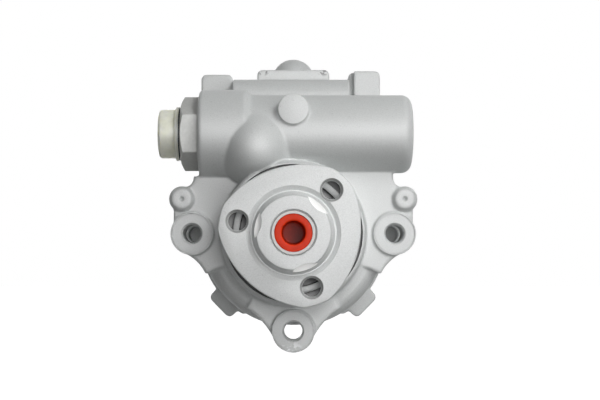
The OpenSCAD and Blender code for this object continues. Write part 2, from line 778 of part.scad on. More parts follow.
module drive_flange() {
    boss_edge = 0.5;
    cone_y = -flange_reach - boss_cone_h;
    hole_r = pulley_hole_d / 2;
    color("#d3d6d5")
    difference() {
        union() {
            along_y(-flange_reach, flange_back_y) flange_outline();
            turned_y() polygon([
                [0, boss_y], [boss_face_d / 2 - boss_edge, boss_y], [boss_face_d / 2, boss_y + boss_edge],
                [boss_foot_d / 2, cone_y], [boss_foot_d / 2 + boss_edge, cone_y],
                [boss_cone_d / 2, -flange_reach],
                [sleeve_d / 2, flange_back_y], [sleeve_d / 2, sleeve_back_y], [0, sleeve_back_y]]);
        }
        drill_y(shaft_d + 2 * seat_fit, boss_y - over, sleeve_back_y + over);
        turned_y() polygon([
            [0, boss_y - over], [shaft_d / 2 + boss_edge + over, boss_y - over],
            [shaft_d / 2 - over, boss_y + boss_edge + over], [0, boss_y + boss_edge + over]]);
        for (i = [0:pulley_hole_count - 1]) {
            a = flange_turn + lobe_step * i;
            x = pulley_pcd / 2 * cos(a);
            z = pulley_pcd / 2 * sin(a);
            drill_y(washer_face_d, boss_y - over, boss_y + washer_face_sink, x, z);
            drill_y(pulley_hole_d, boss_y - over, flange_back_y + over, x, z);
            turned_y(x, z) polygon([
                [0, -flange_reach - over], [hole_r + pulley_hole_chamfer + over, -flange_reach - over],
                [hole_r, -flange_reach + pulley_hole_chamfer], [0, -flange_reach + pulley_hole_chamfer]]);
        }
    }
}

// Cross section of the splines, grown by g.
module spline_outline(g = 0) {
    circle(r = spline_root_r + g);
    for (i = [0:spline_count - 1])
        rotate(360 / spline_count * i)
            translate([0, -spline_w / 2 - g]) square([spline_r + g, spline_w + 2 * g]);
}

module drive_shaft() {
    seat_r = shaft_d / 2;
    journal_r = journal_d / 2 - running_fit;
    tail_r = tail_d / 2 - running_fit;
    core_r = spline_root_r - 0.5;
    edge = 0.4;
    spline_end_y = pressure_plate_y + clip_t + 1.4;
    color("#a9adb0")
    difference() {
        union() {
            turned_y() polygon([
                [0, shaft_front_y], [seat_r - edge, shaft_front_y], [seat_r, shaft_front_y + edge],
                [seat_r, journal_y], [journal_r, journal_y], [journal_r, floor_y], [core_r, floor_y],
                [core_r, spline_end_y], [tail_r, spline_end_y], [tail_r, tail_end_y - edge],
                [tail_r - edge, tail_end_y], [0, tail_end_y]]);
            along_y(floor_y, spline_end_y) spline_outline();
        }
        drill_y(plug_d, shaft_front_y - over, shaft_front_y + plug_len + 1);
        along_y(pressure_plate_y, pressure_plate_y + clip_t + 0.1) difference() {
            circle(r = spline_r + over);
            circle(r = spline_root_r - 0.1);
        }
    }
}

module shaft_plug() {
    r = plug_d / 2 - seat_fit;
    hollow_r = plug_hollow_d / 2;
    y = shaft_front_y + 0.2;
    color("#dc4420")
    turned_y() polygon(concat(
        [[0, y + plug_hollow_t], [hollow_r - 0.8, y + plug_hollow_t], [hollow_r, y + plug_hollow_t - 0.8]],
        arc(hollow_r + 0.9, y + 0.9, 0.9, 180, 270, 4),
        [[r - 0.5, y], [r, y + 0.5], [r, y + plug_len], [0, y + plug_len]]));
}

module shaft_seal() {
    r = seal_d / 2 - seat_fit;
    lip_r = shaft_d / 2 + seat_fit;
    y = seal_front_y;
    color("#2a2a2c")
    turned_y() polygon([
        [r, y], [r, y + seal_w], [r - 2, y + seal_w], [r - 2, y + 2.2], [lip_r + 1.6, y + 2.2],
        [lip_r + 1.3, y + 4.6], [lip_r, y + 3.6], [lip_r + 0.6, y + 1.4], [lip_r, y + 0.6],
        [lip_r + 0.5, y]]);
}

module front_bush() {
    color("#a8874a")
    turned_y() translate([journal_d / 2, front_bush_y])
        square([bush_wall - seat_fit, floor_y - front_bush_y]);
}

module rear_bush() {
    color("#a8874a")
    turned_y() translate([tail_d / 2, rear_bush_y]) square([bush_wall - seat_fit, rear_bush_len]);
}

module rotor() {
    y0 = cam_y + tip_fit;
    slot_w = vane_t + 2 * running_fit;
    color("#9a9ea3")
    along_y(y0, y0 + rotor_len) difference() {
        circle(r = rotor_r);
        spline_outline(seat_fit);
        for (i = [0:vane_count - 1])
            rotate(vane_offset + vane_step * i) {
                translate([slot_end_r, -slot_w / 2]) square([rotor_d, slot_w]);
                translate([slot_end_r, 0]) circle(r = slot_bulb_r);
            }
    }
}

module rotor_clip() {
    gap = 50;
    color("#6d7074")
    along_y(pressure_plate_y + 0.05, pressure_plate_y + 0.05 + clip_t) difference() {
        circle(r = clip_r);
        circle(r = spline_root_r);
        for (side = [-1, 1])
            polygon([[0, 0], 2 * clip_r * [1, 0], 2 * clip_r * [cos(gap / 2), side * sin(gap / 2)]]);
    }
}

// One vane, standing at the cam's short radius.
module vane(i) {
    a = vane_offset + vane_step * (i - 1);
    y0 = cam_y + tip_fit;
    color("#c2c5c8")
    rotate([0, -a, 0]) intersection() {
        translate([vane_foot_r, y0, -vane_t / 2]) cube([vane_h + over, rotor_len, vane_t]);
        drill_y(2 * vane_tip_r, y0 - over, y0 + rotor_len + over);
    }
}

// Inside of the cam ring: two smooth lifts in one turn.
function cam_r(a) = cam_short_r + cam_lift * (1 - cos(2 * a)) / 2;
module cam_outline(steps = 120) {
    polygon([for (i = [0:steps - 1]) let (a = 90 + 360 * i / steps) cam_r(a - 90) * [cos(a), sin(a)]]);
}

module pin_holes() {
    for (side = [-1, 1])
        translate([0, side * pin_pcd / 2]) circle(d = pin_d);
}

module cam_ring() {
    color("#8d9196")
    along_y(cam_y, pressure_plate_y) difference() {
        circle(r = plate_r);
        cam_outline();
        pin_holes();
    }
}

// Curved port between two radii, centred on angle a.
module port(r0, r1, a) {
    difference() {
        circle(r = r1);
        circle(r = r0);
        rotate(a + port_span / 2) translate([-2 * r1, 0]) square([4 * r1, 2 * r1]);
        rotate(a - port_span / 2) translate([-2 * r1, -2 * r1]) square([4 * r1, 2 * r1]);
    }
}

// Centre hole, pin holes and pressure ports through a plate, with suction notches in its cam side.
module plate_ports(y0, y1, notch_y0, notch_y1) {
    along_y(y0 - over, y1 + over) {
        circle(r = plate_hole_r);
        pin_holes();
        for (turn = [135, 315])
            port(port_in_r, port_out_r, turn);
    }
    along_y(notch_y0, notch_y1)
        for (turn = [45, 225])
            port(port_in_r, chamber_r + over, turn);
}

module front_plate() {
    color("#9ea2a6")
    difference() {
        drill_y(2 * plate_r, floor_y, cam_y);
        plate_ports(floor_y, cam_y, cam_y - notch_t, cam_y + over);
    }
}

module pressure_plate() {
    color("#9ea2a6")
    difference() {
        turned_y() polygon([
            [0, pressure_plate_y], [plate_r, pressure_plate_y], [plate_r, plate_groove_y],
            [plate_r - small_ring_d, plate_groove_y],
            [plate_r - small_ring_d, plate_groove_y + small_groove_w],
            [plate_r, plate_groove_y + small_groove_w], [plate_r, spring_y], [0, spring_y]]);
        plate_ports(pressure_plate_y, spring_y, pressure_plate_y - over, pressure_plate_y + notch_t);
    }
}

module plate_oring() {
    color("#222222")
    turned_y() translate([plate_r - small_ring_d / 2, plate_groove_y + small_groove_w / 2])
        circle(d = small_ring_d - 2 * seat_fit);
}

module plate_pins() {
    pin_sink = 1.5;
    pin_short = 5;
    color("#7f8387")
    for (side = [-1, 1])
        drill_y(pin_d - 2 * seat_fit, floor_y - pressure_groove_t - pin_sink, spring_y - pin_short, 0,
                side * pin_pcd / 2);
}

// Coned disc that presses the plate against the cam ring.
module plate_spring() {
    in_r = plate_hole_r + 3;
    out_r = chamber_r - 6;
    wall = 1;
    color("#6d7074")
    turned_y() polygon([
        [out_r, spring_y], [out_r + wall, spring_y + wall / 2],
        [in_r + wall, pilot_y], [in_r, pilot_y - wall / 2]]);
}

module pressure_union() {
    thread_r = union_thread_d / 2 - seat_fit;
    corner_r = hex_af / 2 / cos(30);
    port_end_x = hex_x + port_depth;
    orifice_d = 4;
    color("#aeb2b4")
    difference() {
        union() {
            intersection() {
                translate([hex_x, chest_setback, chest_height]) rotate([hex_turn, 0, 0]) rotate([0, 90, 0])
                    cylinder(r = corner_r, h = hex_len, $fn = 6);
                turned_x() polygon([
                    [0, hex_x], [hex_af / 2 - 0.6, hex_x], [corner_r + 0.2, hex_x + 1.8],
                    [corner_r + 0.2, hex_x + hex_len], [0, hex_x + hex_len]]);
            }
            turned_x() polygon([
                [0, hex_x + hex_len - eps], [thread_r, hex_x + hex_len - eps], [thread_r, union_groove_x],
                [thread_r - small_ring_d, union_groove_x],
                [thread_r - small_ring_d, union_groove_x + small_groove_w],
                [thread_r, union_groove_x + small_groove_w], [thread_r, union_end_x - 1],
                [thread_r - 1, union_end_x], [0, union_end_x]]);
        }
        drill_x(port_d, hex_x - over, port_end_x, chest_setback, chest_height);
        drill_x(orifice_d, port_end_x - eps, union_end_x + over, chest_setback, chest_height);
    }
}

module union_oring() {
    ring_r = union_thread_d / 2 - seat_fit - small_ring_d / 2;
    color("#222222")
    turned_x() translate([ring_r, union_groove_x + small_groove_w / 2])
        circle(d = small_ring_d - 2 * seat_fit);
}

module union_cap() {
    stem_r = port_d / 2 - seat_fit;
    head_r = cap_d / 2;
    rim_r = cap_rim_d / 2;
    round_r = 1.4;
    color("#dfe0cc")
    turned_x() polygon(concat(
        [[0, cap_end_x]],
        arc(head_r - round_r, cap_end_x + round_r, round_r, -90, 0),
        [[head_r, cap_rim_x], [rim_r - 0.3, cap_rim_x], [rim_r, cap_rim_x + 0.3], [rim_r, cap_ring_x],
         [stem_r, cap_ring_x], [stem_r, hex_x + cap_stem_len - 1], [stem_r - 1, hex_x + cap_stem_len],
         [0, hex_x + cap_stem_len]]));
}

module cap_ring() {
    color("#19191d")
    turned_x() translate([port_d / 2 + seat_fit, cap_ring_x])
        square([(cap_ring_d - port_d) / 2 - seat_fit, cap_ring_t]);
}

module flow_spool() {
    r = valve_bore_d / 2 - running_fit;
    neck_r = relief_bore_d / 2 + 1.6;
    nose_r = 3;
    edge = 0.4;
    vent_d = 2;
    vent_x = relief_floor_x + 3;
    color("#b4b8bb")
    difference() {
        turned_x() polygon([
            [0, spool_x], [nose_r, spool_x], [nose_r, land_x], [r - edge, land_x], [r, land_x + edge],
            [r, neck_start_x], [neck_r, neck_start_x], [neck_r, tail_x], [r, tail_x], [r, spool_end_x - edge],
            [r - edge, spool_end_x], [relief_bore_d / 2, spool_end_x], [relief_bore_d / 2, relief_floor_x],
            [0, relief_floor_x]]);
        drill_z(vent_d, chest_height - valve_bore_d, chest_height + valve_bore_d, vent_x, chest_setback);
    }
}

module relief_seat() {
    color("#8f9497")
    turned_x() polygon([
        [seat_hole_d / 2, seat_x], [relief_bore_d / 2 - seat_fit, seat_x],
        [relief_bore_d / 2 - seat_fit, spool_end_x], [seat_hole_d / 2 + 1, spool_end_x],
        [seat_hole_d / 2 + 1, spool_end_x - 2], [seat_hole_d / 2, spool_end_x - 2]]);
}

// Cone nosed poppet that closes the hole in the seat screw.
module relief_poppet() {
    guide_r = relief_bore_d / 2 - 0.8;
    nose_len = 1.6;
    color("#c2c5c8")
    turned_x() polygon([
        [0, poppet_x - 2.5], [1.2, poppet_x - 2.5], [1.2, poppet_x], [guide_r, poppet_x],
        [guide_r, seat_x - nose_len], [seat_hole_d / 2 + 0.9, seat_x - nose_len],
        [seat_hole_d / 2 - 0.1, seat_x - 0.1], [0, seat_x - 0.1]]);
}

// Coil spring of round wire along the valve axis, from x0 to x1, with flat wound ends.
module coil_spring(x0, x1, coil_r, wire_d, turns) {
    sides = 6;
    per_turn = 16;
    steps = turns * per_turn;
    wire_r = wire_d / 2;
    closed = per_turn;
    rise = (x1 - x0 - 3 * wire_d) / (steps - 2 * closed);
    function lift(k) = wire_r + wire_d * min(k, closed) / closed
        + rise * max(0, min(k - closed, steps - 2 * closed))
        + wire_d * max(0, k - steps + closed) / closed;
    function ring(k) = let (a = 360 * k / per_turn) [for (s = [0:sides - 1])
        let (b = 360 * s / sides, r = coil_r + wire_r * cos(b))
        [x0 + lift(k) + wire_r * sin(b), chest_setback + r * cos(a), chest_height + r * sin(a)]];
    points = [for (k = [0:steps]) each ring(k)];
    walls = [for (k = [0:steps - 1], s = [0:sides - 1]) let (n = (s + 1) % sides)
        [k * sides + s, k * sides + n, (k + 1) * sides + n, (k + 1) * sides + s]];
    first = [for (s = [sides - 1:-1:0]) s];
    last = [for (s = [0:sides - 1]) steps * sides + s];
    polyhedron(points, concat(walls, [first, last]));
}

module flow_spring() {
    color("#7b7f83")
    coil_spring(spool_end_x, blind_x, valve_bore_d / 2 - flow_wire_d / 2 - 0.6, flow_wire_d, 8);
}

module relief_spring() {
    color("#7b7f83")
    coil_spring(relief_floor_x, poppet_x, relief_bore_d / 2 - relief_wire_d / 2 - 0.7, relief_wire_d, 5);
}

pump_body();
rear_cover();
cover_bolts();
cover_oring();
suction_oring();
drive_flange();
drive_shaft();
shaft_plug();
shaft_seal();
front_bush();
rear_bush();
rotor();
rotor_clip();
cam_ring();
front_plate();
pressure_plate();
plate_oring();
plate_pins();
plate_spring();
pressure_union();
union_oring();
union_cap();
cap_ring();
flow_spool();
flow_spring();
relief_seat();
relief_poppet();
relief_spring();
for (i = [1:vane_count])
    vane(i);
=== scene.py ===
"""Looks of a power steering pump: castings, flange, union, cap, plug, bolts, springs and stage."""

import json
import math

import bpy
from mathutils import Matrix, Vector

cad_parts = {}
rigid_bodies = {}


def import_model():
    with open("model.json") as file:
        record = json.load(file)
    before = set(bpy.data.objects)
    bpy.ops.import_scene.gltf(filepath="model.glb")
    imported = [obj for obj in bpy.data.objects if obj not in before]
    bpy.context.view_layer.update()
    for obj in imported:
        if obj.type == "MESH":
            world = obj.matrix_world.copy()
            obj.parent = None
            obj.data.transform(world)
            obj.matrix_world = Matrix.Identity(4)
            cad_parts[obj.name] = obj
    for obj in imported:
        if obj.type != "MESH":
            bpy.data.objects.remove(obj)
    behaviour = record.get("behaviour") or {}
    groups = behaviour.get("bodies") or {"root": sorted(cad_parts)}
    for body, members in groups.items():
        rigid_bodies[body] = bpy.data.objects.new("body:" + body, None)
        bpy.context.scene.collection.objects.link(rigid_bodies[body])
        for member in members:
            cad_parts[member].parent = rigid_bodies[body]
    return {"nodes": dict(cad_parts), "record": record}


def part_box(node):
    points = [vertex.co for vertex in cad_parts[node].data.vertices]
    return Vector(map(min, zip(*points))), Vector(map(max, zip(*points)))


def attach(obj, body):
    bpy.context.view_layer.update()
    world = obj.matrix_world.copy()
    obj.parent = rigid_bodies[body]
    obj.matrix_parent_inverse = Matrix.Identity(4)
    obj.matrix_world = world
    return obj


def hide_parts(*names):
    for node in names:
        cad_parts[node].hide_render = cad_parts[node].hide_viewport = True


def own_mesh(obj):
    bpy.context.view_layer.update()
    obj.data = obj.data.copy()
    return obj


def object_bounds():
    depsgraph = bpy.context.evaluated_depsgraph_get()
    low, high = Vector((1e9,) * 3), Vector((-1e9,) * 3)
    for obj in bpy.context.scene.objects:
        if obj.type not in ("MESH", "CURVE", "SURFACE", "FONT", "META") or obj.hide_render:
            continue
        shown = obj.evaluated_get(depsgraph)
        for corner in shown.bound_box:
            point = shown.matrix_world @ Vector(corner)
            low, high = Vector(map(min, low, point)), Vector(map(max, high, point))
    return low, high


bl_info = {
    "name": "Power steering pump looks",
    "version": (1, 0, 0),
    "blender": (4, 5, 0),
    "location": "3D View > Sidebar > Pump",
    "description": "Models the pump's castings and fittings around its CAD frame",
    "category": "Object",
}

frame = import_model()
CAD_BOX = [list(corner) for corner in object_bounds()]
MM = 0.001
MOUNTS = {mount["name"]: mount for mount in frame["record"]["mounts"]}

# Places that the pieces share, read from the frame
BODY_LOW, BODY_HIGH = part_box("pump_body")
COVER_LOW, COVER_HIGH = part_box("rear_cover")
BOLTS_LOW, BOLTS_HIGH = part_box("cover_bolts")
FLANGE_LOW, FLANGE_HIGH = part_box("drive_flange")
SHAFT_LOW, SHAFT_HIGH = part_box("drive_shaft")
PLUG_LOW, PLUG_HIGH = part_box("shaft_plug")
UNION_LOW, UNION_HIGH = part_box("pressure_union")
CAP_LOW, CAP_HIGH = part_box("union_cap")
CAP_RING_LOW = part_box("cap_ring")[0]
SEAL_LOW, SEAL_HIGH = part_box("shaft_seal")
BUSH_LOW, BUSH_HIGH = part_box("front_bush")
REAR_BUSH_LOW, REAR_BUSH_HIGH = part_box("rear_bush")
CAM_LOW, CAM_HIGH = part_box("cam_ring")
PLATE_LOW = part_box("front_plate")[0]
SPOOL_LOW, SPOOL_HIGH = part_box("flow_spool")
SPRING_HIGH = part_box("flow_spring")[1]
UNION_RING_LOW, UNION_RING_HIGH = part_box("union_oring")
VALVE = Vector((0, (UNION_LOW.y + UNION_HIGH.y) / 2, (UNION_LOW.z + UNION_HIGH.z) / 2))
EAR_X = MOUNTS["side_ear_holes"]["dims"]["spacing_x_mm"] / 2 * MM
EAR_HOLE_R = MOUNTS["side_ear_holes"]["dims"]["hole_r_mm"] * MM
BOTTOM_EAR_Z = MOUNTS["bottom_ear_hole"]["pos_m"][2]
SPIGOT = Vector(MOUNTS["suction_spigot"]["pos_m"])
BOLT_CIRCLE_R = MOUNTS["pulley_bolts"]["dims"]["pcd_mm"] / 2 * MM
PULLEY_HOLE_R = MOUNTS["pulley_bolts"]["dims"]["hole_r_mm"] * MM
PULLEY_HOLES = MOUNTS["pulley_bolts"]["dims"]["count"]
REAR_Y = BODY_HIGH.y

# Sides of a turned solid, overlap of solids that are joined or cut, and play round a fitted piece
SIDES = 96
BITE = 1 * MM
FIT = 0.02 * MM

# Chips in the paint: at the foot of the bottom ear and at the corners of the flat pad on top
EAR_CHIP = (-1 * MM, 0, BODY_LOW.z)
EAR_CHIP_REACH = 7 * MM
PAD_CHIPS = ((-15 * MM, 38 * MM, 82.2 * MM), (15 * MM, 38 * MM, 82.2 * MM))
PAD_CHIP_REACH = 5 * MM

# Distance of the lamps from the pump and width of the floor, in metres
LAMP_REACH = 0.6
FLOOR_WIDTH = 6

# The finish that each of the record's material slots gets
FINISHES = {
    "cast_silver": "silver_paint",
    "flange_silver": "flange_paint",
    "shaft_steel": "turned_steel",
    "zinc_steel": "zinc_plate",
    "vane_steel": "ground_steel",
    "spring_steel": "spring_wire",
    "bush_bronze": "bronze",
    "black_rubber": "rubber",
    "red_plastic": "plug_red",
    "cream_plastic": "cap_cream",
}


def length(label, text, size):
    """A length property with its default in millimetres."""
    return bpy.props.FloatProperty(
        name=label, description=text, default=size * MM, min=0, precision=5,
        unit="LENGTH", subtype="DISTANCE")


def colour(label, text, value):
    """A colour property."""
    return bpy.props.FloatVectorProperty(
        name=label, description=text, default=value, size=3, min=0, max=1, subtype="COLOR")


def rotation(label, text, degrees):
    """An angle property with its default in degrees."""
    return bpy.props.FloatProperty(
        name=label, description=text, default=math.radians(degrees), unit="ROTATION")


def watts(label, text, value):
    """A lamp's power property."""
    return bpy.props.FloatProperty(name=label, description=text, default=value, min=0, unit="POWER")


class PumpCastSettings(bpy.types.PropertyGroup):
    """Sizes of the two castings."""

    voxel: length("Skin voxel", "Size of the voxels that round a casting's edges", 0.65)
    smooth_steps: bpy.props.IntProperty(
        name="Smooth steps", description="Passes that soften a casting's edges and corners",
        default=2, min=0, max=30)
    most_faces: bpy.props.IntProperty(
        name="Most faces", description="Triangles that a casting's skin is thinned to",
        default=150000, min=1000)
    ear_face_d: length("Ear face", "Diameter of the machined face round a mounting hole", 18.8)
    ear_rim: length("Ear rim", "Width of the cast rim round an ear face", 0.5)
    ear_sink: length("Ear sink", "Depth of an ear face below its rim", 0.3)
    ear_line_w: length("Ear line", "Width of the fine groove round an ear face", 0.35)
    ear_line_t: length("Ear line depth", "Depth of that groove", 0.6)
    hole_chamfer: length("Hole chamfer", "Chamfer at the mouth of a mounting hole", 0.8)
    side_ear_t: length("Side ear", "Thickness of a side ear", 20)
    lug_gap: length("Lug gap", "Gap between a side ear and the lug behind it", 10)
    lug_hole_r: length("Lug hole", "Radius of the blind hole in the lug behind a side ear", 4)
    lug_hole_t: length("Lug hole depth", "Depth of the blind hole in that lug", 10)
    dimple_x: length("Dimple place", "Distance of a dimple from the middle", 51.8)
    dimple_z: length("Dimple height", "Height of a dimple above the shaft", 16.1)
    dimple_reach: length("Dimple boss", "Height of a dimple's boss in front of the ear faces", 1)
    dimple_r: length("Dimple radius", "Radius of a dimple's mouth", 1.3)
    recess_r: length("Nose recess", "Radius of the recess in the nose", 24.2)
    recess_t: length("Recess depth", "Depth of the recess in the nose", 5)
    groove_r: length("Nose groove", "Inner radius of the groove in the nose", 27.6)
    groove_w: length("Groove width", "Width of the groove in the nose", 3.6)
    groove_t: length("Groove depth", "Depth of the groove in the nose", 4)
    nose_reach: length("Nose reach", "Distance of the nose's face from the ear faces", 14)
    chest_r: length("Chest radius", "Radius of the valve chest", 18.3)
    pad_r: length("Round pad", "Radius of the round pad on the chest", 7)
    pad_z: length("Pad height", "Height of the round pad above the shaft", 56.5)
    pad_reach: length("Pad reach", "Height of the round pad on the chest", 1.1)
    spigot_bore_r: length("Spigot bore", "Radius of the bore of the hose spigot", 7.5)
    bolt_hole_r: length("Bolt hole", "Radius of the cover's bolt holes", 3.3)


class PumpFlangeSettings(bpy.types.PropertyGroup):
    """Sizes of the drive flange."""

    reach: length("Reach", "Distance of the plate's face from the ear faces", 24)
    thick: length("Thickness", "Thickness of the plate", 6)
    lobe_r: length("Lobe radius", "Radius round the three lobes", 33.6)
    waist_r: length("Waist radius", "Distance of a side's middle from the axis", 29.7)
    side_r: length("Side radius", "Radius of the three shallow sides", 45)
    turn: rotation("Turn", "Angle of the first lobe", 48.4)
    edge: length("Edge", "Rounding of the plate's rims", 0.7)
    hole_chamfer: length("Hole chamfer", "Chamfer at the mouth of a bolt hole", 1.1)
    boss_r: length("Boss radius", "Radius of the boss's face", 16.6)
    boss_foot_r: length("Boss foot", "Radius of the boss where it meets the dish", 18.6)
    boss_edge: length("Boss edge", "Rounding of the boss's rim", 0.6)
    land_w: length("Land", "Width of the flat ring round the boss's foot", 0.5)
    dish_r: length("Dish radius", "Outer radius of the shallow dish round the boss", 21.2)
    dish_t: length("Dish depth", "Depth of the shallow dish", 1.4)
    bore_gap: length("Bore gap", "Width of the gap round the shaft end", 0.5)
    bore_gap_t: length("Gap depth", "Depth of that gap", 2)
    washer_r: length("Washer face", "Radius of the face that is cut round a bolt hole", 11)
    washer_sink: length("Washer sink", "Depth of that face below the boss's face", 2.1)
    sleeve_r: length("Sleeve radius", "Radius of the sleeve behind the plate", 14)


class PumpFittingSettings(bpy.types.PropertyGroup):
    """Sizes of the union, its cap, the plug and the bolts."""

    hex_af: length("Hexagon", "Width of the union's hexagon across its flats", 30.3)
    hex_len: length("Hexagon length", "Length of the union's hexagon", 8.3)
    hex_turn: rotation("Hexagon turn", "Turn of the union's hexagon", 4)
    hex_edge: length("Hexagon edge", "Rounding of the hexagon's corners", 0.5)
    thread_r: length("Union thread", "Radius of the union's thread", 10.98)
    port_r: length("Port radius", "Radius of the union's port", 7)
    port_t: length("Port depth", "Depth of the union's port", 22)
    orifice_r: length("Orifice radius", "Radius of the hole at the end of the port", 2)
    cap_r: length("Cap radius", "Radius of the cap's head", 11.4)
    cap_round: length("Cap edge", "Rounding of the cap's end", 1.4)
    cap_rim_t: length("Cap rim", "Thickness of the cap's rim", 1.7)
    cap_stem_r: length("Cap stem", "Radius of the cap's stem in the port", 6.98)
    plug_hollow_r: length("Plug hollow", "Radius of the hollow in the plug", 5.1)
    plug_hollow_t: length("Hollow depth", "Depth of the hollow in the plug", 7)
    plug_lip: length("Plug lip", "Rounding of the hollow's mouth", 0.9)
    bolt_r: length("Bolt radius", "Radius of a cover bolt's shank", 2.98)
    bolt_af: length("Bolt head", "Width of a cover bolt's head across its flats", 10)
    bolt_head_t: length("Bolt head height", "Height of a cover bolt's head", 3.6)
    washer_t: length("Bolt washer", "Thickness of a cover bolt's washer", 1.2)


class PumpPaintSettings(bpy.types.PropertyGroup):
    """Colours of the finishes."""

    silver: colour("Silver paint", "Paint on the castings", (0.56, 0.575, 0.57))
    flange: colour("Flange paint", "Paint on the drive flange", (0.62, 0.635, 0.63))
    zinc: colour("Zinc plate", "Plating of the union and the bolts", (0.47, 0.475, 0.46))
    steel: colour("Shaft steel", "Turned steel of the shaft", (0.5, 0.49, 0.48))
    red: colour("Plug red", "Plug in the shaft end", (0.95, 0.045, 0.006))
    cream: colour("Cap cream", "Cap on the pressure union", (0.93, 0.935, 0.78))
    rubber: colour("Rubber", "Seals and rings", (0.02, 0.02, 0.023))
    ground: colour("Ground steel", "Vane set, spool and relief valve", (0.45, 0.46, 0.48))
    wire: colour("Spring wire", "Springs and the rotor's clip", (0.25, 0.26, 0.28))
    bronze: colour("Bronze", "Bushes of the shaft", (0.48, 0.33, 0.14))
    bare_chip: colour("Bare chip", "Clean metal where the ear's paint is chipped", (0.86, 0.87, 0.88))
    dirty_chip: colour("Dirty chip", "Dirty metal where the pad's paint is chipped", (0.1, 0.1, 0.1))
    # Painted shade: near-black tone for the floors of the nose's recess and groove
    recess_shade: colour("Painted recess shade", "Floors of the recess and the groove in the nose", (0.07, 0.07, 0.07))
    # Bare steel of the washer faces, brightened further as a painted highlight
    washer: colour("Washer face", "Bare steel of the faces cut round the bolt holes", (0.88, 0.88, 0.86))
    # Painted shade: this darker grey stands in for the shade on the bolt holes' chamfers
    chamfer: colour("Hole chamfer", "Bare steel of the bolt holes' chamfers", (0.3, 0.305, 0.3))


class PumpStageSettings(bpy.types.PropertyGroup):
    """Camera, lamps and floor."""

    lens: bpy.props.FloatProperty(
        name="Lens", description="Focal length of the camera", default=71.2, unit="CAMERA")
    key_power: watts("Key lamp", "Power of the lamp at the upper right", 1.8)
    low_power: watts("Low lamp", "Power of the lamp at the lower right", 0.65)
    left_power: watts("Left lamp", "Power of the lamp at the upper left", 0.45)
    back_power: watts("Back lamp", "Power of the lamp behind the pump", 2.0)
    sheen_power: watts("Sheen lamp", "Power of the lamp that gives the paint its sheen", 13.0)
    ambient: bpy.props.FloatProperty(
        name="Ambient", description="Strength of the light from all round", default=0.05, min=0, max=1)
    floor_drop: length("Floor drop", "Depth of the floor below the pump", 60)
    floor_tone: colour("Floor tone", "Tone of the floor under the lamps", (0.2, 0.2, 0.2))
    floor_fade: length("Floor fade", "Distance from the pump at which the floor turns white", 300)


def clear_selection():
    """Leaves object mode with nothing selected."""
    if bpy.context.mode != "OBJECT":
        bpy.ops.object.mode_set(mode="OBJECT")
    bpy.ops.object.select_all(action="DESELECT")


def select_only(*objects):
    """Selects these objects alone and makes the first one active."""
    clear_selection()
    for obj in objects:
        obj.select_set(True)
    bpy.context.view_layer.objects.active = objects[0]


def apply_modifier(obj, kind, **values):
    """Adds a modifier with these values and applies it."""
    select_only(obj)
    modifier = obj.modifiers.new(kind.title(), kind)
    for key, value in values.items():
        setattr(modifier, key, value)
    bpy.ops.object.modifier_apply(modifier=modifier.name)


def combine(obj, tool, operation):
    """Joins, cuts or crosses obj with tool, and deletes the tool."""
    apply_modifier(obj, "BOOLEAN", object=tool, operation=operation, solver="MANIFOLD")
    bpy.data.objects.remove(tool)


def place_in_mesh(obj):
    """Moves an object's place, turn and scale into its mesh."""
    select_only(obj)
    bpy.ops.object.transform_apply(location=True, rotation=True, scale=True)


def turned(name, rings, axis="Y", centre=(0, 0, 0), sides=SIDES):
    """A closed turned solid through rings of (place along the axis, radius)."""
    along = Vector((1, 0, 0)) if axis == "X" else Vector((0, 1, 0))
    turn = (0, math.pi / 2, 0) if axis == "X" else (math.pi / 2, 0, 0)
    across = Vector((1, 1, 1)) - along
    base = across * Vector(centre)
    clear_selection()
    start, radius = rings[0]
    bpy.ops.mesh.primitive_circle_add(
        vertices=sides, radius=radius, fill_type="NGON", location=base + along * start, rotation=turn)
    obj = bpy.context.object
    obj.name = name
    place_in_mesh(obj)
    bpy.ops.object.mode_set(mode="EDIT")
    bpy.ops.mesh.select_all(action="SELECT")
    for place, size in rings[1:]:
        bpy.ops.mesh.extrude_region_move(TRANSFORM_OT_translate={"value": along * (place - start)})
        bpy.ops.transform.resize(
            value=along + across * (size / radius), center_override=base + along * place)
        start, radius = place, size
    bpy.ops.mesh.select_all(action="SELECT")
    bpy.ops.mesh.normals_make_consistent(inside=False)
    bpy.ops.object.mode_set(mode="OBJECT")
    return obj


def arc(place, radius, size, start, end, steps=5):
    """Rings of a round edge about (place, radius), between two angles in degrees from straight outwards."""
    angles = [math.radians(start + (end - start) * i / steps) for i in range(steps + 1)]
    return [(place + size * math.sin(a), radius + size * math.cos(a)) for a in angles]


def bevel_edges(obj, chosen, size, segments=3):
    """Rounds the edges whose two ends pass the test chosen(first, second)."""
    select_only(obj)
    bpy.ops.object.mode_set(mode="EDIT")
    bpy.ops.mesh.select_mode(type="EDGE")
    bpy.ops.mesh.select_all(action="DESELECT")
    bpy.ops.object.mode_set(mode="OBJECT")
    points = obj.data.vertices
    for edge in obj.data.edges:
        edge.select = chosen(*(points[i].co for i in edge.vertices))
    bpy.ops.object.mode_set(mode="EDIT")
    bpy.ops.mesh.bevel(offset=size, segments=segments, affect="EDGES")
    bpy.ops.object.mode_set(mode="OBJECT")


def copy_of_node(node, name):
    """A merged copy of a CAD node's mesh as a new piece."""
    obj = bpy.data.objects.new(name, frame["nodes"][node].data.copy())
    obj.data.materials.clear()
    bpy.context.scene.collection.objects.link(obj)
    select_only(obj)
    bpy.ops.object.mode_set(mode="EDIT")
    bpy.ops.mesh.select_all(action="SELECT")
    bpy.ops.mesh.remove_doubles(threshold=0.002 * MM)
    bpy.ops.object.mode_set(mode="OBJECT")
    return obj


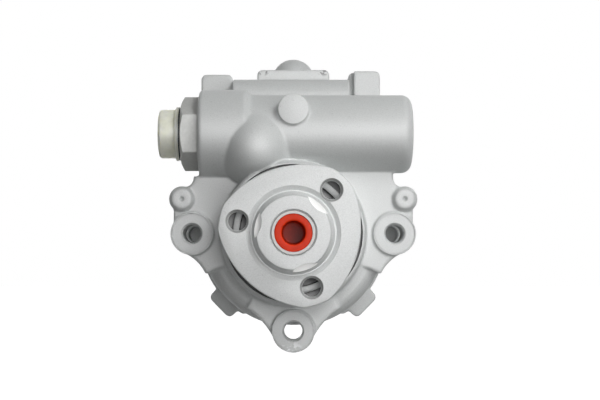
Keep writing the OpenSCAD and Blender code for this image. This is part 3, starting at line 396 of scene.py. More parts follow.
def finish_piece(obj, body, slot, *nodes, crisp=35):
    """Shades a finished piece, crisp above an angle, gives it the finish of its slot, hangs it on its body
    and hides its CAD nodes.
    """
    select_only(obj)
    bpy.ops.object.shade_smooth_by_angle(angle=math.radians(crisp))
    obj.data.materials.clear()
    obj.data.materials.append(bpy.data.materials[FINISHES[slot]])
    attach(obj, body)
    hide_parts(*nodes)


def new_material(name):
    """The node tree and the shader of a new material."""
    material = bpy.data.materials.new(name)
    material.use_nodes = True
    tree = material.node_tree
    return tree, tree.nodes["Principled BSDF"]


def object_place(tree):
    """The Object coordinates of a material."""
    return tree.nodes.new("ShaderNodeTexCoord").outputs["Object"]


def noise(tree, scale, detail=2.0):
    """A noise texture on Object coordinates, in features per metre."""
    node = tree.nodes.new("ShaderNodeTexNoise")
    node.inputs["Scale"].default_value = scale
    node.inputs["Detail"].default_value = detail
    tree.links.new(object_place(tree), node.inputs["Vector"])
    return node.outputs["Fac"]


def ramp(tree, source, low, high, low_colour=(0, 0, 0), high_colour=(1, 1, 1)):
    """A colour ramp between two values of a source."""
    node = tree.nodes.new("ShaderNodeValToRGB")
    first, last = node.color_ramp.elements
    first.position, last.position = low, high
    first.color, last.color = (*low_colour, 1), (*high_colour, 1)
    tree.links.new(source, node.inputs["Fac"])
    return node.outputs["Color"]


def mix(tree, factor, first, second):
    """A colour mixed by a factor; second is a colour value."""
    node = tree.nodes.new("ShaderNodeMix")
    node.data_type = "RGBA"
    tree.links.new(factor, node.inputs[0])
    tree.links.new(first, node.inputs[6])
    node.inputs[7].default_value = (*second, 1)
    return node.outputs[2]


def multiply(tree, first, second):
    """Two values multiplied."""
    node = tree.nodes.new("ShaderNodeMath")
    node.operation = "MULTIPLY"
    tree.links.new(first, node.inputs[0])
    tree.links.new(second, node.inputs[1])
    return node.outputs["Value"]


def near(tree, place, reach):
    """1 at a place and 0 from this reach outwards."""
    apart = tree.nodes.new("ShaderNodeVectorMath")
    apart.operation = "DISTANCE"
    tree.links.new(object_place(tree), apart.inputs[0])
    apart.inputs[1].default_value = place
    fade = tree.nodes.new("ShaderNodeMapRange")
    tree.links.new(apart.outputs["Value"], fade.inputs["Value"])
    fade.inputs["From Max"].default_value = reach
    fade.inputs["To Min"].default_value = 1
    fade.inputs["To Max"].default_value = 0
    return fade.outputs["Result"]


def shade(value, factor):
    """A colour made lighter or darker by a factor."""
    return tuple(min(1, channel * factor) for channel in value)


def bump(tree, shader, height, strength, distance):
    """Bump from a height on a shader's normal."""
    node = tree.nodes.new("ShaderNodeBump")
    node.inputs["Strength"].default_value = strength
    node.inputs["Distance"].default_value = distance
    tree.links.new(height, node.inputs["Height"])
    tree.links.new(node.outputs["Normal"], shader.inputs["Normal"])


def silver_paint(name, silver, paint):
    """Satin silver paint with fine flake, dust specks and chips, over a sand casting."""
    flake_scale, speck_scale, chip_scale, grain_scale = 2600, 1100, 420, 900
    tree, shader = new_material(name)
    flake = ramp(tree, noise(tree, flake_scale, 3), 0.3, 0.7, shade(silver, 0.92), shade(silver, 1.08))
    specks = ramp(tree, noise(tree, speck_scale, 1), 0.7, 0.78)
    tone = mix(tree, specks, flake, shade(silver, 0.82))
    chips = ramp(tree, noise(tree, chip_scale, 3), 0.5, 0.56)
    bare = multiply(tree, chips, ramp(tree, near(tree, EAR_CHIP, EAR_CHIP_REACH), 0.1, 0.5))
    tone = mix(tree, bare, tone, paint.bare_chip)
    for place in PAD_CHIPS:
        dirty = multiply(tree, chips, ramp(tree, near(tree, place, PAD_CHIP_REACH), 0.3, 0.6))
        tone = mix(tree, dirty, tone, paint.dirty_chip)
    tree.links.new(tone, shader.inputs["Base Color"])
    shader.inputs["Roughness"].default_value = 0.6
    shader.inputs["Specular IOR Level"].default_value = 0.5
    bump(tree, shader, noise(tree, grain_scale, 4), strength=0.22, distance=0.15 * MM)
    return tree, shader, tone


def along_shaft(tree):
    """The place along the shaft."""
    split = tree.nodes.new("ShaderNodeSeparateXYZ")
    tree.links.new(object_place(tree), split.inputs["Vector"])
    return split.outputs["Y"]


def from_axis(tree, x, z):
    """The distance from an axis along the shaft's direction."""
    flat = tree.nodes.new("ShaderNodeVectorMath")
    flat.operation = "MULTIPLY"
    tree.links.new(object_place(tree), flat.inputs[0])
    flat.inputs[1].default_value = (1, 0, 1)
    apart = tree.nodes.new("ShaderNodeVectorMath")
    apart.operation = "DISTANCE"
    tree.links.new(flat.outputs["Vector"], apart.inputs[0])
    apart.inputs[1].default_value = (x, 0, z)
    return apart.outputs["Value"]


def within(tree, value, middle, reach):
    """1 where a value lies within this reach of a middle value."""
    node = tree.nodes.new("ShaderNodeMath")
    node.operation = "COMPARE"
    tree.links.new(value, node.inputs[0])
    node.inputs[1].default_value = middle
    node.inputs[2].default_value = reach
    return node.outputs["Value"]


def paint_recess_shade(tree, shader, tone, recess_shade, cast):
    """Painted shade: a near-black tone on the floors of the recess and the groove in the nose, deep behind
    the flange.
    """
    middle, reach, play = 3.2 * MM, 3 * MM, 0.1 * MM
    below = within(tree, along_shaft(tree), -cast.nose_reach + middle, reach)
    inside = within(tree, from_axis(tree, 0, 0), 0, cast.groove_r + cast.groove_w + play)
    tone = mix(tree, multiply(tree, below, inside), tone, recess_shade)
    tree.links.new(tone, shader.inputs["Base Color"])


def pulley_places(flange):
    """The axes of the flange's bolt holes, as (x, z)."""
    angles = [flange.turn + math.tau / PULLEY_HOLES * i for i in range(PULLEY_HOLES)]
    return [(BOLT_CIRCLE_R * math.cos(angle), BOLT_CIRCLE_R * math.sin(angle)) for angle in angles]


def flange_highlight_and_shade(tree, shader, tone, paint, flange):
    """The washer faces beside the bolt holes in bare steel, brightened as a painted highlight, and painted
    shade as a darker grey on the holes' chamfers.
    """
    skin = 0.06 * MM
    level = FLANGE_LOW.y + flange.washer_sink
    # Painted highlight: the washer faces brightened to a near-white tone
    tone = mix(tree, within(tree, along_shaft(tree), level, skin), tone, paint.washer)
    middle, reach = PULLEY_HOLE_R + flange.hole_chamfer / 2, 0.4 * flange.hole_chamfer
    # Painted shade: a darker grey ring on each hole's chamfer
    for x, z in pulley_places(flange):
        tone = mix(tree, within(tree, from_axis(tree, x, z), middle, reach), tone, paint.chamfer)
    tree.links.new(tone, shader.inputs["Base Color"])


def turned_metal(name, metal, roughness, metallic=0.85, gloss=0.5):
    """Bare metal with a little mottling."""
    tree, shader = new_material(name)
    tone = ramp(tree, noise(tree, 700, 3), 0.3, 0.7, shade(metal, 0.94), shade(metal, 1.05))
    tree.links.new(tone, shader.inputs["Base Color"])
    shader.inputs["Metallic"].default_value = metallic
    shader.inputs["Roughness"].default_value = roughness
    shader.inputs["Specular IOR Level"].default_value = gloss


def moulded(name, plastic, roughness, gloss=0.5):
    """Moulded plastic or rubber with a faint grain."""
    tree, shader = new_material(name)
    tone = ramp(tree, noise(tree, 400), 0.3, 0.7, shade(plastic, 0.94), shade(plastic, 1.05))
    tree.links.new(tone, shader.inputs["Base Color"])
    shader.inputs["Roughness"].default_value = roughness
    shader.inputs["Specular IOR Level"].default_value = gloss
    bump(tree, shader, noise(tree, 2500), strength=0.1, distance=0.05 * MM)
    return tree, shader, tone


def let_light_in(shader):
    """Lets light a little way into a plastic."""
    shader.inputs["Subsurface Weight"].default_value = 0.35
    shader.inputs["Subsurface Radius"].default_value = (1, 0.95, 0.6)
    shader.inputs["Subsurface Scale"].default_value = 4 * MM


def paint_hollow_shade(tree, shader, tone, plastic, fitting):
    """Painted shade: a darker, mottled tone in the hollow of the plug, standing in for the shade down in
    the hollow.
    """
    play, least = 0.2 * MM, (0.75, 0.75, 0.75)
    inside = within(tree, from_axis(tree, 0, 0), 0, fitting.plug_hollow_r + play)
    mottle = multiply(tree, inside, ramp(tree, noise(tree, 500, 3), 0.25, 0.5, least))
    tree.links.new(mix(tree, mottle, tone, shade(plastic, 0.4)), shader.inputs["Base Color"])


class PUMP_OT_finishes(bpy.types.Operator):
    """Makes the finishes and puts one on every CAD node"""

    bl_idname = "pump.finishes"
    bl_label = "Finishes"

    def execute(self, context):
        scene = context.scene
        paint = scene.pump_paint
        # Painted shade in the nose's recess for the castings; painted highlight on the washer faces and
        # painted shade on the hole chamfers for the flange
        paint_recess_shade(*silver_paint("silver_paint", paint.silver, paint), paint.recess_shade, scene.pump_cast)
        flange_highlight_and_shade(*silver_paint("flange_paint", paint.flange, paint), paint, scene.pump_flange)
        turned_metal("turned_steel", paint.steel, roughness=0.6, metallic=0.05, gloss=0.2)
        turned_metal("zinc_plate", paint.zinc, roughness=0.55, metallic=0.05, gloss=0.25)
        turned_metal("ground_steel", paint.ground, roughness=0.3)
        turned_metal("spring_wire", paint.wire, roughness=0.4)
        turned_metal("bronze", paint.bronze, roughness=0.4)
        moulded("rubber", paint.rubber, roughness=0.6, gloss=0.2)
        plug = moulded("plug_red", paint.red, roughness=0.5, gloss=0.03)
        # Painted shade in the plug's hollow
        paint_hollow_shade(*plug, paint.red, scene.pump_fitting)
        cap = moulded("cap_cream", paint.cream, roughness=0.5)
        let_light_in(cap[1])
        for part in frame["record"]["subparts"]:
            materials = frame["nodes"][part["node"]].data.materials
            materials.clear()
            materials.append(bpy.data.materials[FINISHES[part["material_slot"]]])
        return {"FINISHED"}


def soften(obj, fillers, cast):
    """Fills a casting's bores and rounds its edges through a voxel skin."""
    select_only(obj, *fillers)
    bpy.ops.object.join()
    apply_modifier(obj, "REMESH", mode="VOXEL", voxel_size=cast.voxel)
    apply_modifier(obj, "SMOOTH", factor=0.5, iterations=cast.smooth_steps)
    apply_modifier(obj, "DECIMATE", ratio=min(1, cast.most_faces / (2 * len(obj.data.polygons))))


def half_width(low, high, axis):
    """Half of a box's width along an axis."""
    return (high[axis] - low[axis]) / 2


def body_cores(grow, past, fitting):
    """Solids of the body's bores, grown by grow, whose open ends run past their faces by past."""
    chamber_r = half_width(CAM_LOW, CAM_HIGH, 0) + grow
    seal_r = half_width(SEAL_LOW, SEAL_HIGH, 0) + grow
    bush_r = half_width(BUSH_LOW, BUSH_HIGH, 0) + grow
    union_r = half_width(UNION_RING_LOW, UNION_RING_HIGH, 1) + grow
    valve_r = half_width(SPOOL_LOW, SPOOL_HIGH, 1) + grow
    collar_x = UNION_LOW.x + fitting.hex_len
    return [
        turned("chamber_core", [(PLATE_LOW.y - grow, chamber_r), (REAR_Y + past, chamber_r)]),
        turned("bush_core", [(SEAL_HIGH.y - BITE, bush_r), (PLATE_LOW.y + BITE, bush_r)]),
        turned("seal_core", [(SEAL_LOW.y - past, seal_r), (SEAL_HIGH.y + grow, seal_r)]),
        turned("union_core", [(collar_x - past, union_r), (SPOOL_LOW.x + grow, union_r)], "X", VALVE),
        turned("valve_core", [(SPOOL_LOW.x - BITE, valve_r), (SPRING_HIGH.x + grow, valve_r)], "X", VALVE),
    ]


def ear_pad(cast, x, z):
    """The crisp rim of an ear."""
    rim_r = cast.ear_face_d / 2 + cast.ear_rim
    edge = cast.ear_sink / 2
    return turned("ear_pad", [
        *arc(edge - cast.ear_sink, rim_r - edge, edge, -90, 0, 3), (2 * BITE, rim_r)], centre=(x, 0, z))


def ear_cutter(cast, x, z, reach):
    """A cutter for the machined face and the chamfered hole of an ear."""
    face_r = cast.ear_face_d / 2
    return turned("ear_cutter", [
        (-2 * BITE, face_r), (cast.ear_line_t, face_r), (cast.ear_line_t, face_r - cast.ear_line_w),
        (0, face_r - cast.ear_line_w), (0, EAR_HOLE_R + cast.hole_chamfer),
        (cast.hole_chamfer, EAR_HOLE_R), (reach, EAR_HOLE_R)], centre=(x, 0, z))


def nose_groove(cast):
    """A cutter for the ring groove in the face of the nose."""
    front, floor = -cast.nose_reach - BITE, -cast.nose_reach + cast.groove_t
    outer_r = cast.groove_r + cast.groove_w
    groove = turned("nose_groove", [(front, outer_r), (floor, outer_r)])
    core = turned("groove_core", [(front - BITE, cast.groove_r), (floor + BITE, cast.groove_r)])
    combine(groove, core, "DIFFERENCE")
    return groove


class PUMP_OT_body_cast(bpy.types.Operator):
    """Makes the body casting with soft cast edges and crisp machined faces"""

    bl_idname = "pump.body_cast"
    bl_label = "Body casting"

    def execute(self, context):
        cast = context.scene.pump_cast
        fitting = context.scene.pump_fitting
        obj = copy_of_node("pump_body", "body_cast")
        soften(obj, body_cores(grow=0.3 * MM, past=-0.5 * MM, fitting=fitting), cast)
        ears = ((-EAR_X, 0), (EAR_X, 0), (0, BOTTOM_EAR_Z))
        for x, z in ears:
            combine(obj, ear_pad(cast, x, z), "UNION")
        pad_y = VALVE.y - cast.chest_r - cast.pad_reach
        pad_edge = 0.3 * MM
        combine(obj, turned("round_pad", [
            *arc(pad_y + pad_edge, cast.pad_r - pad_edge, pad_edge, -90, 0, 3),
            (pad_y + 3 * BITE, cast.pad_r)],
            centre=(0, 0, cast.pad_z)), "UNION")
        for core in body_cores(grow=FIT, past=BITE, fitting=fitting):
            combine(obj, core, "DIFFERENCE")
        for x, z in ears:
            combine(obj, ear_cutter(cast, x, z, cast.side_ear_t + 2 * BITE), "DIFFERENCE")
        for side in (-1, 1):
            lug_y = cast.side_ear_t + cast.lug_gap
            combine(obj, turned("lug_hole", [
                (lug_y - 2 * BITE, cast.lug_hole_r), (lug_y + cast.lug_hole_t, cast.lug_hole_r)],
                centre=(side * EAR_X, 0, 0)), "DIFFERENCE")
            tip = 0.02 * MM
            combine(obj, turned("dimple", [
                (-cast.dimple_reach - BITE, cast.dimple_r + BITE), (-cast.dimple_reach, cast.dimple_r),
                (-cast.dimple_reach + cast.dimple_r, tip)],
                centre=(side * cast.dimple_x, 0, cast.dimple_z), sides=32), "DIFFERENCE")
        combine(obj, turned("nose_recess", [
            (-cast.nose_reach - BITE, cast.recess_r), (-cast.nose_reach + cast.recess_t, cast.recess_r)]),
            "DIFFERENCE")
        combine(obj, nose_groove(cast), "DIFFERENCE")
        finish_piece(obj, "housing", "cast_silver", "pump_body")
        return {"FINISHED"}


def bolt_places():
    """The axes of the cover bolts, one in each quarter, as (x, z)."""
    quarters = {}
    for vertex in frame["nodes"]["cover_bolts"].data.vertices:
        quarters.setdefault((vertex.co.x > 0, vertex.co.z > 0), []).append(vertex.co)
    return [
        tuple((min(p[i] for p in points) + max(p[i] for p in points)) / 2 for i in (0, 2))
        for _, points in sorted(quarters.items())]


def bolt_seat(fitting):
    """The plane on the cover's back that the bolts sit on."""
    return BOLTS_HIGH.y - fitting.bolt_head_t - fitting.washer_t


class PUMP_OT_cover_cast(bpy.types.Operator):
    """Makes the rear cover casting with its suction elbow and bolt holes"""

    bl_idname = "pump.cover_cast"
    bl_label = "Cover casting"

    def execute(self, context):
        cast = context.scene.pump_cast
        fitting = context.scene.pump_fitting
        obj = copy_of_node("rear_cover", "cover_cast")
        bush_r = half_width(REAR_BUSH_LOW, REAR_BUSH_HIGH, 0)
        grow, mouth = 0.3 * MM, 0.4 * MM
        filler = turned("bush_fill", [
            (COVER_LOW.y + BITE / 2, bush_r + grow), (REAR_BUSH_HIGH.y, bush_r)])
        soften(obj, [filler], cast)
        combine(obj, turned("bush_bore", [
            (COVER_LOW.y - BITE, bush_r + FIT), (REAR_BUSH_HIGH.y + FIT, bush_r + FIT)]), "DIFFERENCE")
        combine(obj, turned("spigot_bore", [
            (SPIGOT.y, cast.spigot_bore_r), (COVER_HIGH.y - mouth, cast.spigot_bore_r),
            (COVER_HIGH.y + BITE, cast.spigot_bore_r + mouth + BITE)], centre=SPIGOT), "DIFFERENCE")
        for x, z in bolt_places():
            combine(obj, turned("bolt_hole", [
                (REAR_Y - BITE, cast.bolt_hole_r), (bolt_seat(fitting) + BITE, cast.bolt_hole_r)],
                centre=(x, 0, z), sides=48), "DIFFERENCE")
        finish_piece(obj, "housing", "cast_silver", "rear_cover")
        return {"FINISHED"}


def hexagon(name, width, root, end, chamfer, edge, axis, turn, centre):
    """A hexagon bar from root to end, with rounded corners and a chamfer at its end."""
    corner_r = width / 2 / math.cos(math.pi / 6)
    index = "XYZ".index(axis)
    bar = turned(name, [(root, corner_r), (end, corner_r)], axis, sides=6)
    bevel_edges(bar, lambda a, b: abs(a[index] - b[index]) > abs(end - root) / 2, edge)
    bar.rotation_euler[index] = turn
    bar.location = centre
    bar.location[index] = 0
    place_in_mesh(bar)
    back = math.copysign(chamfer, end - root)
    cone = turned("hexagon_cone", [
        (root - back, corner_r + edge), (end - back, corner_r + edge), (end, width / 2 - edge)],
        axis, centre)
    combine(bar, cone, "INTERSECT")
    return bar


class PUMP_OT_cover_bolts(bpy.types.Operator):
    """Makes one cover bolt and copies it to the other places"""

    bl_idname = "pump.cover_bolts"
    bl_label = "Cover bolts"

    def execute(self, context):
        fitting = context.scene.pump_fitting
        places = bolt_places()
        x, z = places[0]
        seat = bolt_seat(fitting)
        edge, chamfer, turn = 0.3 * MM, 0.8 * MM, math.radians(12)
        washer_r = 0.6 * fitting.bolt_af
        bolt = turned("cover_bolt_1", [
            (BOLTS_LOW.y, fitting.bolt_r - edge), (BOLTS_LOW.y + edge, fitting.bolt_r),
            (seat, fitting.bolt_r), (seat, washer_r - edge),
            *arc(seat + edge, washer_r - edge, edge, -90, 0, 3),
            *arc(seat + fitting.washer_t - edge, washer_r - edge, edge, 0, 90, 3)],
            centre=(x, 0, z), sides=64)
        head = hexagon("bolt_head", fitting.bolt_af, seat + fitting.washer_t / 2, BOLTS_HIGH.y,
                       chamfer, edge, "Y", turn, Vector((x, 0, z)))
        combine(bolt, head, "UNION")
        finish_piece(bolt, "housing", "zinc_steel", "cover_bolts")
        for number, (other_x, other_z) in enumerate(places[1:], 2):
            select_only(bolt)
            bpy.ops.object.duplicate()
            copy = context.object
            copy.name = f"cover_bolt_{number}"
            copy.location = (other_x - x, 0, other_z - z)
            place_in_mesh(copy)
            finish_piece(copy, "housing", "zinc_steel", "cover_bolts")
        return {"FINISHED"}


def flange_plate(flange):
    """The rounded triangle of the flange with rounded rims."""
    front, back = -flange.reach, -flange.reach + flange.thick
    plate = turned("flange_plate", [(front, flange.lobe_r), (back, flange.lobe_r)], sides=2 * SIDES)
    for i in range(PULLEY_HOLES):
        angle = flange.turn + math.tau / PULLEY_HOLES * (i + 0.5)
        offset = flange.waist_r - flange.side_r
        side = turned("flange_side", [(front - BITE, flange.side_r), (back + BITE, flange.side_r)],
                      centre=(offset * math.cos(angle), 0, offset * math.sin(angle)), sides=4 * SIDES)
        combine(plate, side, "INTERSECT")
    inner_r = flange.waist_r - BITE

    def is_rim(first, second):
        flat = abs(first.y - second.y) < FIT
        return flat and min(math.hypot(p.x, p.z) for p in (first, second, (first + second) / 2)) > inner_r

    bevel_edges(plate, is_rim, flange.edge)
    return plate


class PUMP_OT_drive_flange(bpy.types.Operator):
    """Makes the drive flange with its boss, washer faces, bolt holes and bore"""

    bl_idname = "pump.drive_flange"
    bl_label = "Drive flange"

    def execute(self, context):
        flange = context.scene.pump_flange
        front, back, boss_y = -flange.reach, -flange.reach + flange.thick, FLANGE_LOW.y
        bore_r = half_width(SHAFT_LOW, SHAFT_HIGH, 0) + FIT
        obj = flange_plate(flange)
        obj.name = "flange_forging"
        land_r = flange.boss_foot_r + flange.land_w
        combine(obj, turned("flange_dish", [
            (front - BITE, flange.dish_r), (front, flange.dish_r), (front + flange.dish_t, land_r - BITE)],
            sides=2 * SIDES), "DIFFERENCE")
        combine(obj, turned("flange_boss", [
            *arc(boss_y + flange.boss_edge, flange.boss_r - flange.boss_edge, flange.boss_edge, -90, 0),
            (front, flange.boss_foot_r), (front, land_r), (front + BITE, land_r), (back, flange.sleeve_r),
            (FLANGE_HIGH.y, flange.sleeve_r)], sides=2 * SIDES), "UNION")
        gap_r = bore_r + flange.bore_gap
        combine(obj, turned("flange_bore", [
            (boss_y - BITE, gap_r), (boss_y + flange.bore_gap_t, gap_r),
            (boss_y + flange.bore_gap_t, bore_r), (FLANGE_HIGH.y + BITE, bore_r)]), "DIFFERENCE")
        for x, z in pulley_places(flange):
            combine(obj, turned("washer_face", [
                (boss_y - BITE, flange.washer_r), (boss_y + flange.washer_sink, flange.washer_r)],
                centre=(x, 0, z)), "DIFFERENCE")
            mouth_r = PULLEY_HOLE_R + flange.hole_chamfer
            combine(obj, turned("pulley_hole", [
                (front - BITE, mouth_r), (front, mouth_r), (front + flange.hole_chamfer, PULLEY_HOLE_R),
                (back + BITE, PULLEY_HOLE_R)], centre=(x, 0, z)), "DIFFERENCE")
        finish_piece(obj, "drive", "flange_silver", "drive_flange", crisp=20)
        return {"FINISHED"}


class PUMP_OT_shaft_plug(bpy.types.Operator):
    """Makes the plug in the shaft end with its hollow and round lip"""

    bl_idname = "pump.shaft_plug"
    bl_label = "Shaft plug"

    def execute(self, context):
        fitting = context.scene.pump_fitting
        front, outer_r = PLUG_LOW.y, half_width(PLUG_LOW, PLUG_HIGH, 0)
        hollow_r, lip, edge = fitting.plug_hollow_r, fitting.plug_lip, 0.5 * MM
        floor_round = 0.8 * MM
        obj = turned("plug_moulding", [
            *arc(front + fitting.plug_hollow_t - floor_round, hollow_r - floor_round, floor_round, 90, 0),
            *arc(front + lip, hollow_r + lip, lip, 180, 270),
            *arc(front + edge, outer_r - edge, edge, -90, 0),
            (PLUG_HIGH.y, outer_r)])
        finish_piece(obj, "drive", "red_plastic", "shaft_plug")
        return {"FINISHED"}


class PUMP_OT_pressure_union(bpy.types.Operator):
    """Makes the pressure union with its hexagon, thread, ring groove and port"""

    bl_idname = "pump.pressure_union"
    bl_label = "Pressure union"

    def execute(self, context):
        fitting = context.scene.pump_fitting
        collar_x = UNION_LOW.x + fitting.hex_len
        edge, chamfer, play, flat_up = 1 * MM, 1.8 * MM, 0.1 * MM, math.radians(30)
        obj = hexagon("union_hexagon", fitting.hex_af, collar_x, UNION_LOW.x, chamfer, fitting.hex_edge,
                      "X", flat_up + fitting.hex_turn, VALVE)
        ring_r = half_width(UNION_RING_LOW, UNION_RING_HIGH, 1)
        groove_r = fitting.thread_r - 2 * half_width(UNION_RING_LOW, UNION_RING_HIGH, 0)
        low, high = UNION_RING_LOW.x - play, UNION_RING_HIGH.x + play
        combine(obj, turned("union_thread", [
            (collar_x - BITE, fitting.thread_r), (low, fitting.thread_r), (low, groove_r),
            (high, groove_r), (high, ring_r), (UNION_HIGH.x - edge, fitting.thread_r),
            (UNION_HIGH.x, fitting.thread_r - edge)],
            "X", VALVE), "UNION")
        port_end = UNION_LOW.x + fitting.port_t
        combine(obj, turned("union_port", [
            (UNION_LOW.x - BITE, fitting.port_r), (port_end, fitting.port_r),
            (port_end, fitting.orifice_r), (UNION_HIGH.x + BITE, fitting.orifice_r)],
            "X", VALVE), "DIFFERENCE")
        finish_piece(obj, "housing", "zinc_steel", "pressure_union")
        return {"FINISHED"}


class PUMP_OT_union_cap(bpy.types.Operator):
    """Makes the cap on the pressure union"""

    bl_idname = "pump.union_cap"
    bl_label = "Union cap"

    def execute(self, context):
        fitting = context.scene.pump_fitting
        end, rim_back = CAP_LOW.x, CAP_RING_LOW.x
        rim_front = rim_back - fitting.cap_rim_t
        rim_r = half_width(CAP_LOW, CAP_HIGH, 1)
        rim_edge, tip = 0.4 * MM, 1 * MM
        obj = turned("cap_moulding", [
            (end, fitting.cap_r / 3),
            *arc(end + fitting.cap_round, fitting.cap_r - fitting.cap_round, fitting.cap_round, -90, 0),
            (rim_front, fitting.cap_r),
            *arc(rim_front + rim_edge, rim_r - rim_edge, rim_edge, -90, 0, 3),
            (rim_back, rim_r), (rim_back, fitting.cap_stem_r), (CAP_HIGH.x - tip, fitting.cap_stem_r),
            (CAP_HIGH.x, fitting.cap_stem_r - tip)], "X", VALVE)
        finish_piece(obj, "housing", "cream_plastic", "union_cap")
        return {"FINISHED"}


class PUMP_OT_valve_springs(bpy.types.Operator):
    """Makes copies of the two valve springs, which the record lets shorten as spool and poppet move, each
    on its joint's parent body
    """

    bl_idname = "pump.valve_springs"
    bl_label = "Valve springs"

    def execute(self, context):
        for joint in frame["record"]["behaviour"]["joints"]:
            for spring in joint.get("deforming_nodes", []):
                node = spring["node"]
                obj = copy_of_node(node, f"{node}_coil")
                finish_piece(obj, joint["parent"], "spring_steel", node)
                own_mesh(obj)
        return {"FINISHED"}


def make_floor(stage):
    """A plain pale floor below the pump that keeps its shadow and turns white further out."""
    clear_selection()
    middle = (0, 0, CAD_BOX[0][2] - stage.floor_drop)
    bpy.ops.mesh.primitive_plane_add(size=FLOOR_WIDTH, location=middle)
    floor = bpy.context.object
    floor.name = "floor"
    place_in_mesh(floor)
    tree, shader = new_material("pale_floor")
    shader.inputs["Base Color"].default_value = (*stage.floor_tone, 1)
    shader.inputs["Roughness"].default_value = 0.9
    glow = tree.nodes.new("ShaderNodeEmission")
    white, pale = (1, 1, 1), (0.75, 0.75, 0.75)
    shown = ramp(tree, near(tree, middle, stage.floor_fade), 0, 0.6, white, pale)
    tree.links.new(multiply(tree, white_rays(tree), shown), glow.inputs["Strength"])
    both = tree.nodes.new("ShaderNodeAddShader")
    tree.links.new(shader.outputs["BSDF"], both.inputs[0])
    tree.links.new(glow.outputs["Emission"], both.inputs[1])
    tree.links.new(both.outputs["Shader"], tree.nodes["Material Output"].inputs["Surface"])
    floor.data.materials.append(bpy.data.materials["pale_floor"])


def white_rays(tree):
    """1 for the rays that see the background as white: camera, glossy and transmission rays."""
    path = tree.nodes.new("ShaderNodeLightPath")
    total = path.outputs["Is Camera Ray"]
    for name in ("Is Glossy Ray", "Is Transmission Ray"):
        either = tree.nodes.new("ShaderNodeMath")
        either.operation = "MAXIMUM"
        tree.links.new(total, either.inputs[0])
        tree.links.new(path.outputs[name], either.inputs[1])
        total = either.outputs["Value"]
    return total


def make_world(stage):
    """A white background that lights the pump softly."""
    world = bpy.data.worlds.new("studio")
    bpy.context.scene.world = world
    world.use_nodes = True
    tree = world.node_tree
    soft = tree.nodes["Background"]
    soft.inputs["Strength"].default_value = stage.ambient
    soft.inputs["Color"].default_value = (1, 1, 1, 1)
    white = tree.nodes.new("ShaderNodeBackground")
    white.inputs["Color"].default_value = (1, 1, 1, 1)
    either = tree.nodes.new("ShaderNodeMixShader")
    tree.links.new(white_rays(tree), either.inputs["Fac"])
    tree.links.new(soft.outputs["Background"], either.inputs[1])
    tree.links.new(white.outputs["Background"], either.inputs[2])
    tree.links.new(either.outputs["Shader"], tree.nodes["World Output"].inputs["Surface"])


def make_lamp(name, power, right, up, size):
    """A soft square lamp that points at the pump, at these degrees to the right of the camera and up."""
    clear_selection()
    middle = (Vector(CAD_BOX[0]) + Vector(CAD_BOX[1])) / 2
    right, up = math.radians(right), math.radians(up)
    way = Vector((math.sin(right) * math.cos(up), -math.cos(right) * math.cos(up), math.sin(up)))
    bpy.ops.object.light_add(type="AREA", location=middle + LAMP_REACH * way)
    lamp = bpy.context.object
    lamp.name = name
    lamp.rotation_mode = "QUATERNION"
    lamp.rotation_quaternion = (-way).to_track_quat("-Z", "Y")
    lamp.data.size = size
    lamp.data.energy = power
    return lamp


def make_camera(stage):
    """The camera at the photograph's angle, for a frame of 600 by 400."""
    clear_selection()
    place = Vector((-1.0, -550, -8.2)) * MM
    aim = Vector((3.08, 0, 15.6)) * MM
    bpy.ops.object.camera_add(location=place)
    camera = bpy.context.object
    camera.name = "camera"
    camera.rotation_mode = "QUATERNION"
    camera.rotation_quaternion = (aim - place).to_track_quat("-Z", "Y")
    camera.data.lens = stage.lens
    camera.data.sensor_width = 36
    bpy.context.scene.camera = camera


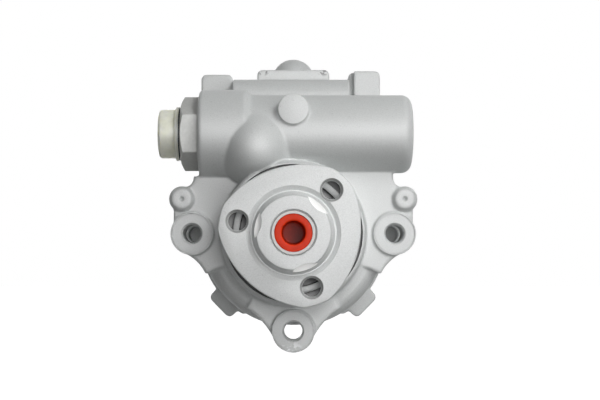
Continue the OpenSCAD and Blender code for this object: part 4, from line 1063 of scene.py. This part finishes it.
class PUMP_OT_stage(bpy.types.Operator):
    """Makes the floor, the lamps, the world and the camera"""

    bl_idname = "pump.stage"
    bl_label = "Stage"

    def execute(self, context):
        stage = context.scene.pump_stage
        context.scene.view_settings.view_transform = "Standard"
        make_floor(stage)
        make_world(stage)
        make_lamp("key_lamp", stage.key_power, right=42, up=40, size=0.25)
        make_lamp("low_lamp", stage.low_power, right=35, up=0, size=0.25)
        make_lamp("left_lamp", stage.left_power, right=-72, up=50, size=0.4)
        make_lamp("back_lamp", stage.back_power, right=-160, up=12, size=0.4)
        sheen = make_lamp("sheen_lamp", stage.sheen_power, right=9, up=7, size=0.25)
        sheen.visible_diffuse = False
        make_camera(stage)
        return {"FINISHED"}


class PUMP_PT_panel(bpy.types.Panel):
    """Lists the steps that dress the pump"""

    bl_idname = "PUMP_PT_panel"
    bl_label = "Power steering pump"
    bl_space_type = "VIEW_3D"
    bl_region_type = "UI"
    bl_category = "Pump"

    def draw(self, context):
        for operator in STEPS:
            self.layout.operator(operator.bl_idname)


GROUPS = {
    "pump_cast": PumpCastSettings,
    "pump_flange": PumpFlangeSettings,
    "pump_fitting": PumpFittingSettings,
    "pump_paint": PumpPaintSettings,
    "pump_stage": PumpStageSettings,
}
STEPS = (
    PUMP_OT_finishes, PUMP_OT_body_cast, PUMP_OT_cover_cast, PUMP_OT_cover_bolts, PUMP_OT_drive_flange,
    PUMP_OT_shaft_plug, PUMP_OT_pressure_union, PUMP_OT_union_cap, PUMP_OT_valve_springs, PUMP_OT_stage)
CLASSES = (*GROUPS.values(), *STEPS, PUMP_PT_panel)


def register():
    """Adds the classes and the scene's settings."""
    for item in CLASSES:
        bpy.utils.register_class(item)
    for name, group in GROUPS.items():
        setattr(bpy.types.Scene, name, bpy.props.PointerProperty(type=group))


def unregister():
    """Takes the settings and the classes away again."""
    for name in GROUPS:
        delattr(bpy.types.Scene, name)
    for item in reversed(CLASSES):
        bpy.utils.unregister_class(item)


def main():
    """Dresses the pump."""
    register()
    bpy.ops.pump.finishes()
    bpy.ops.pump.body_cast()
    bpy.ops.pump.cover_cast()
    bpy.ops.pump.cover_bolts()
    bpy.ops.pump.drive_flange()
    bpy.ops.pump.shaft_plug()
    bpy.ops.pump.pressure_union()
    bpy.ops.pump.union_cap()
    bpy.ops.pump.valve_springs()
    bpy.ops.pump.stage()


if __name__ == "__main__":
    main()
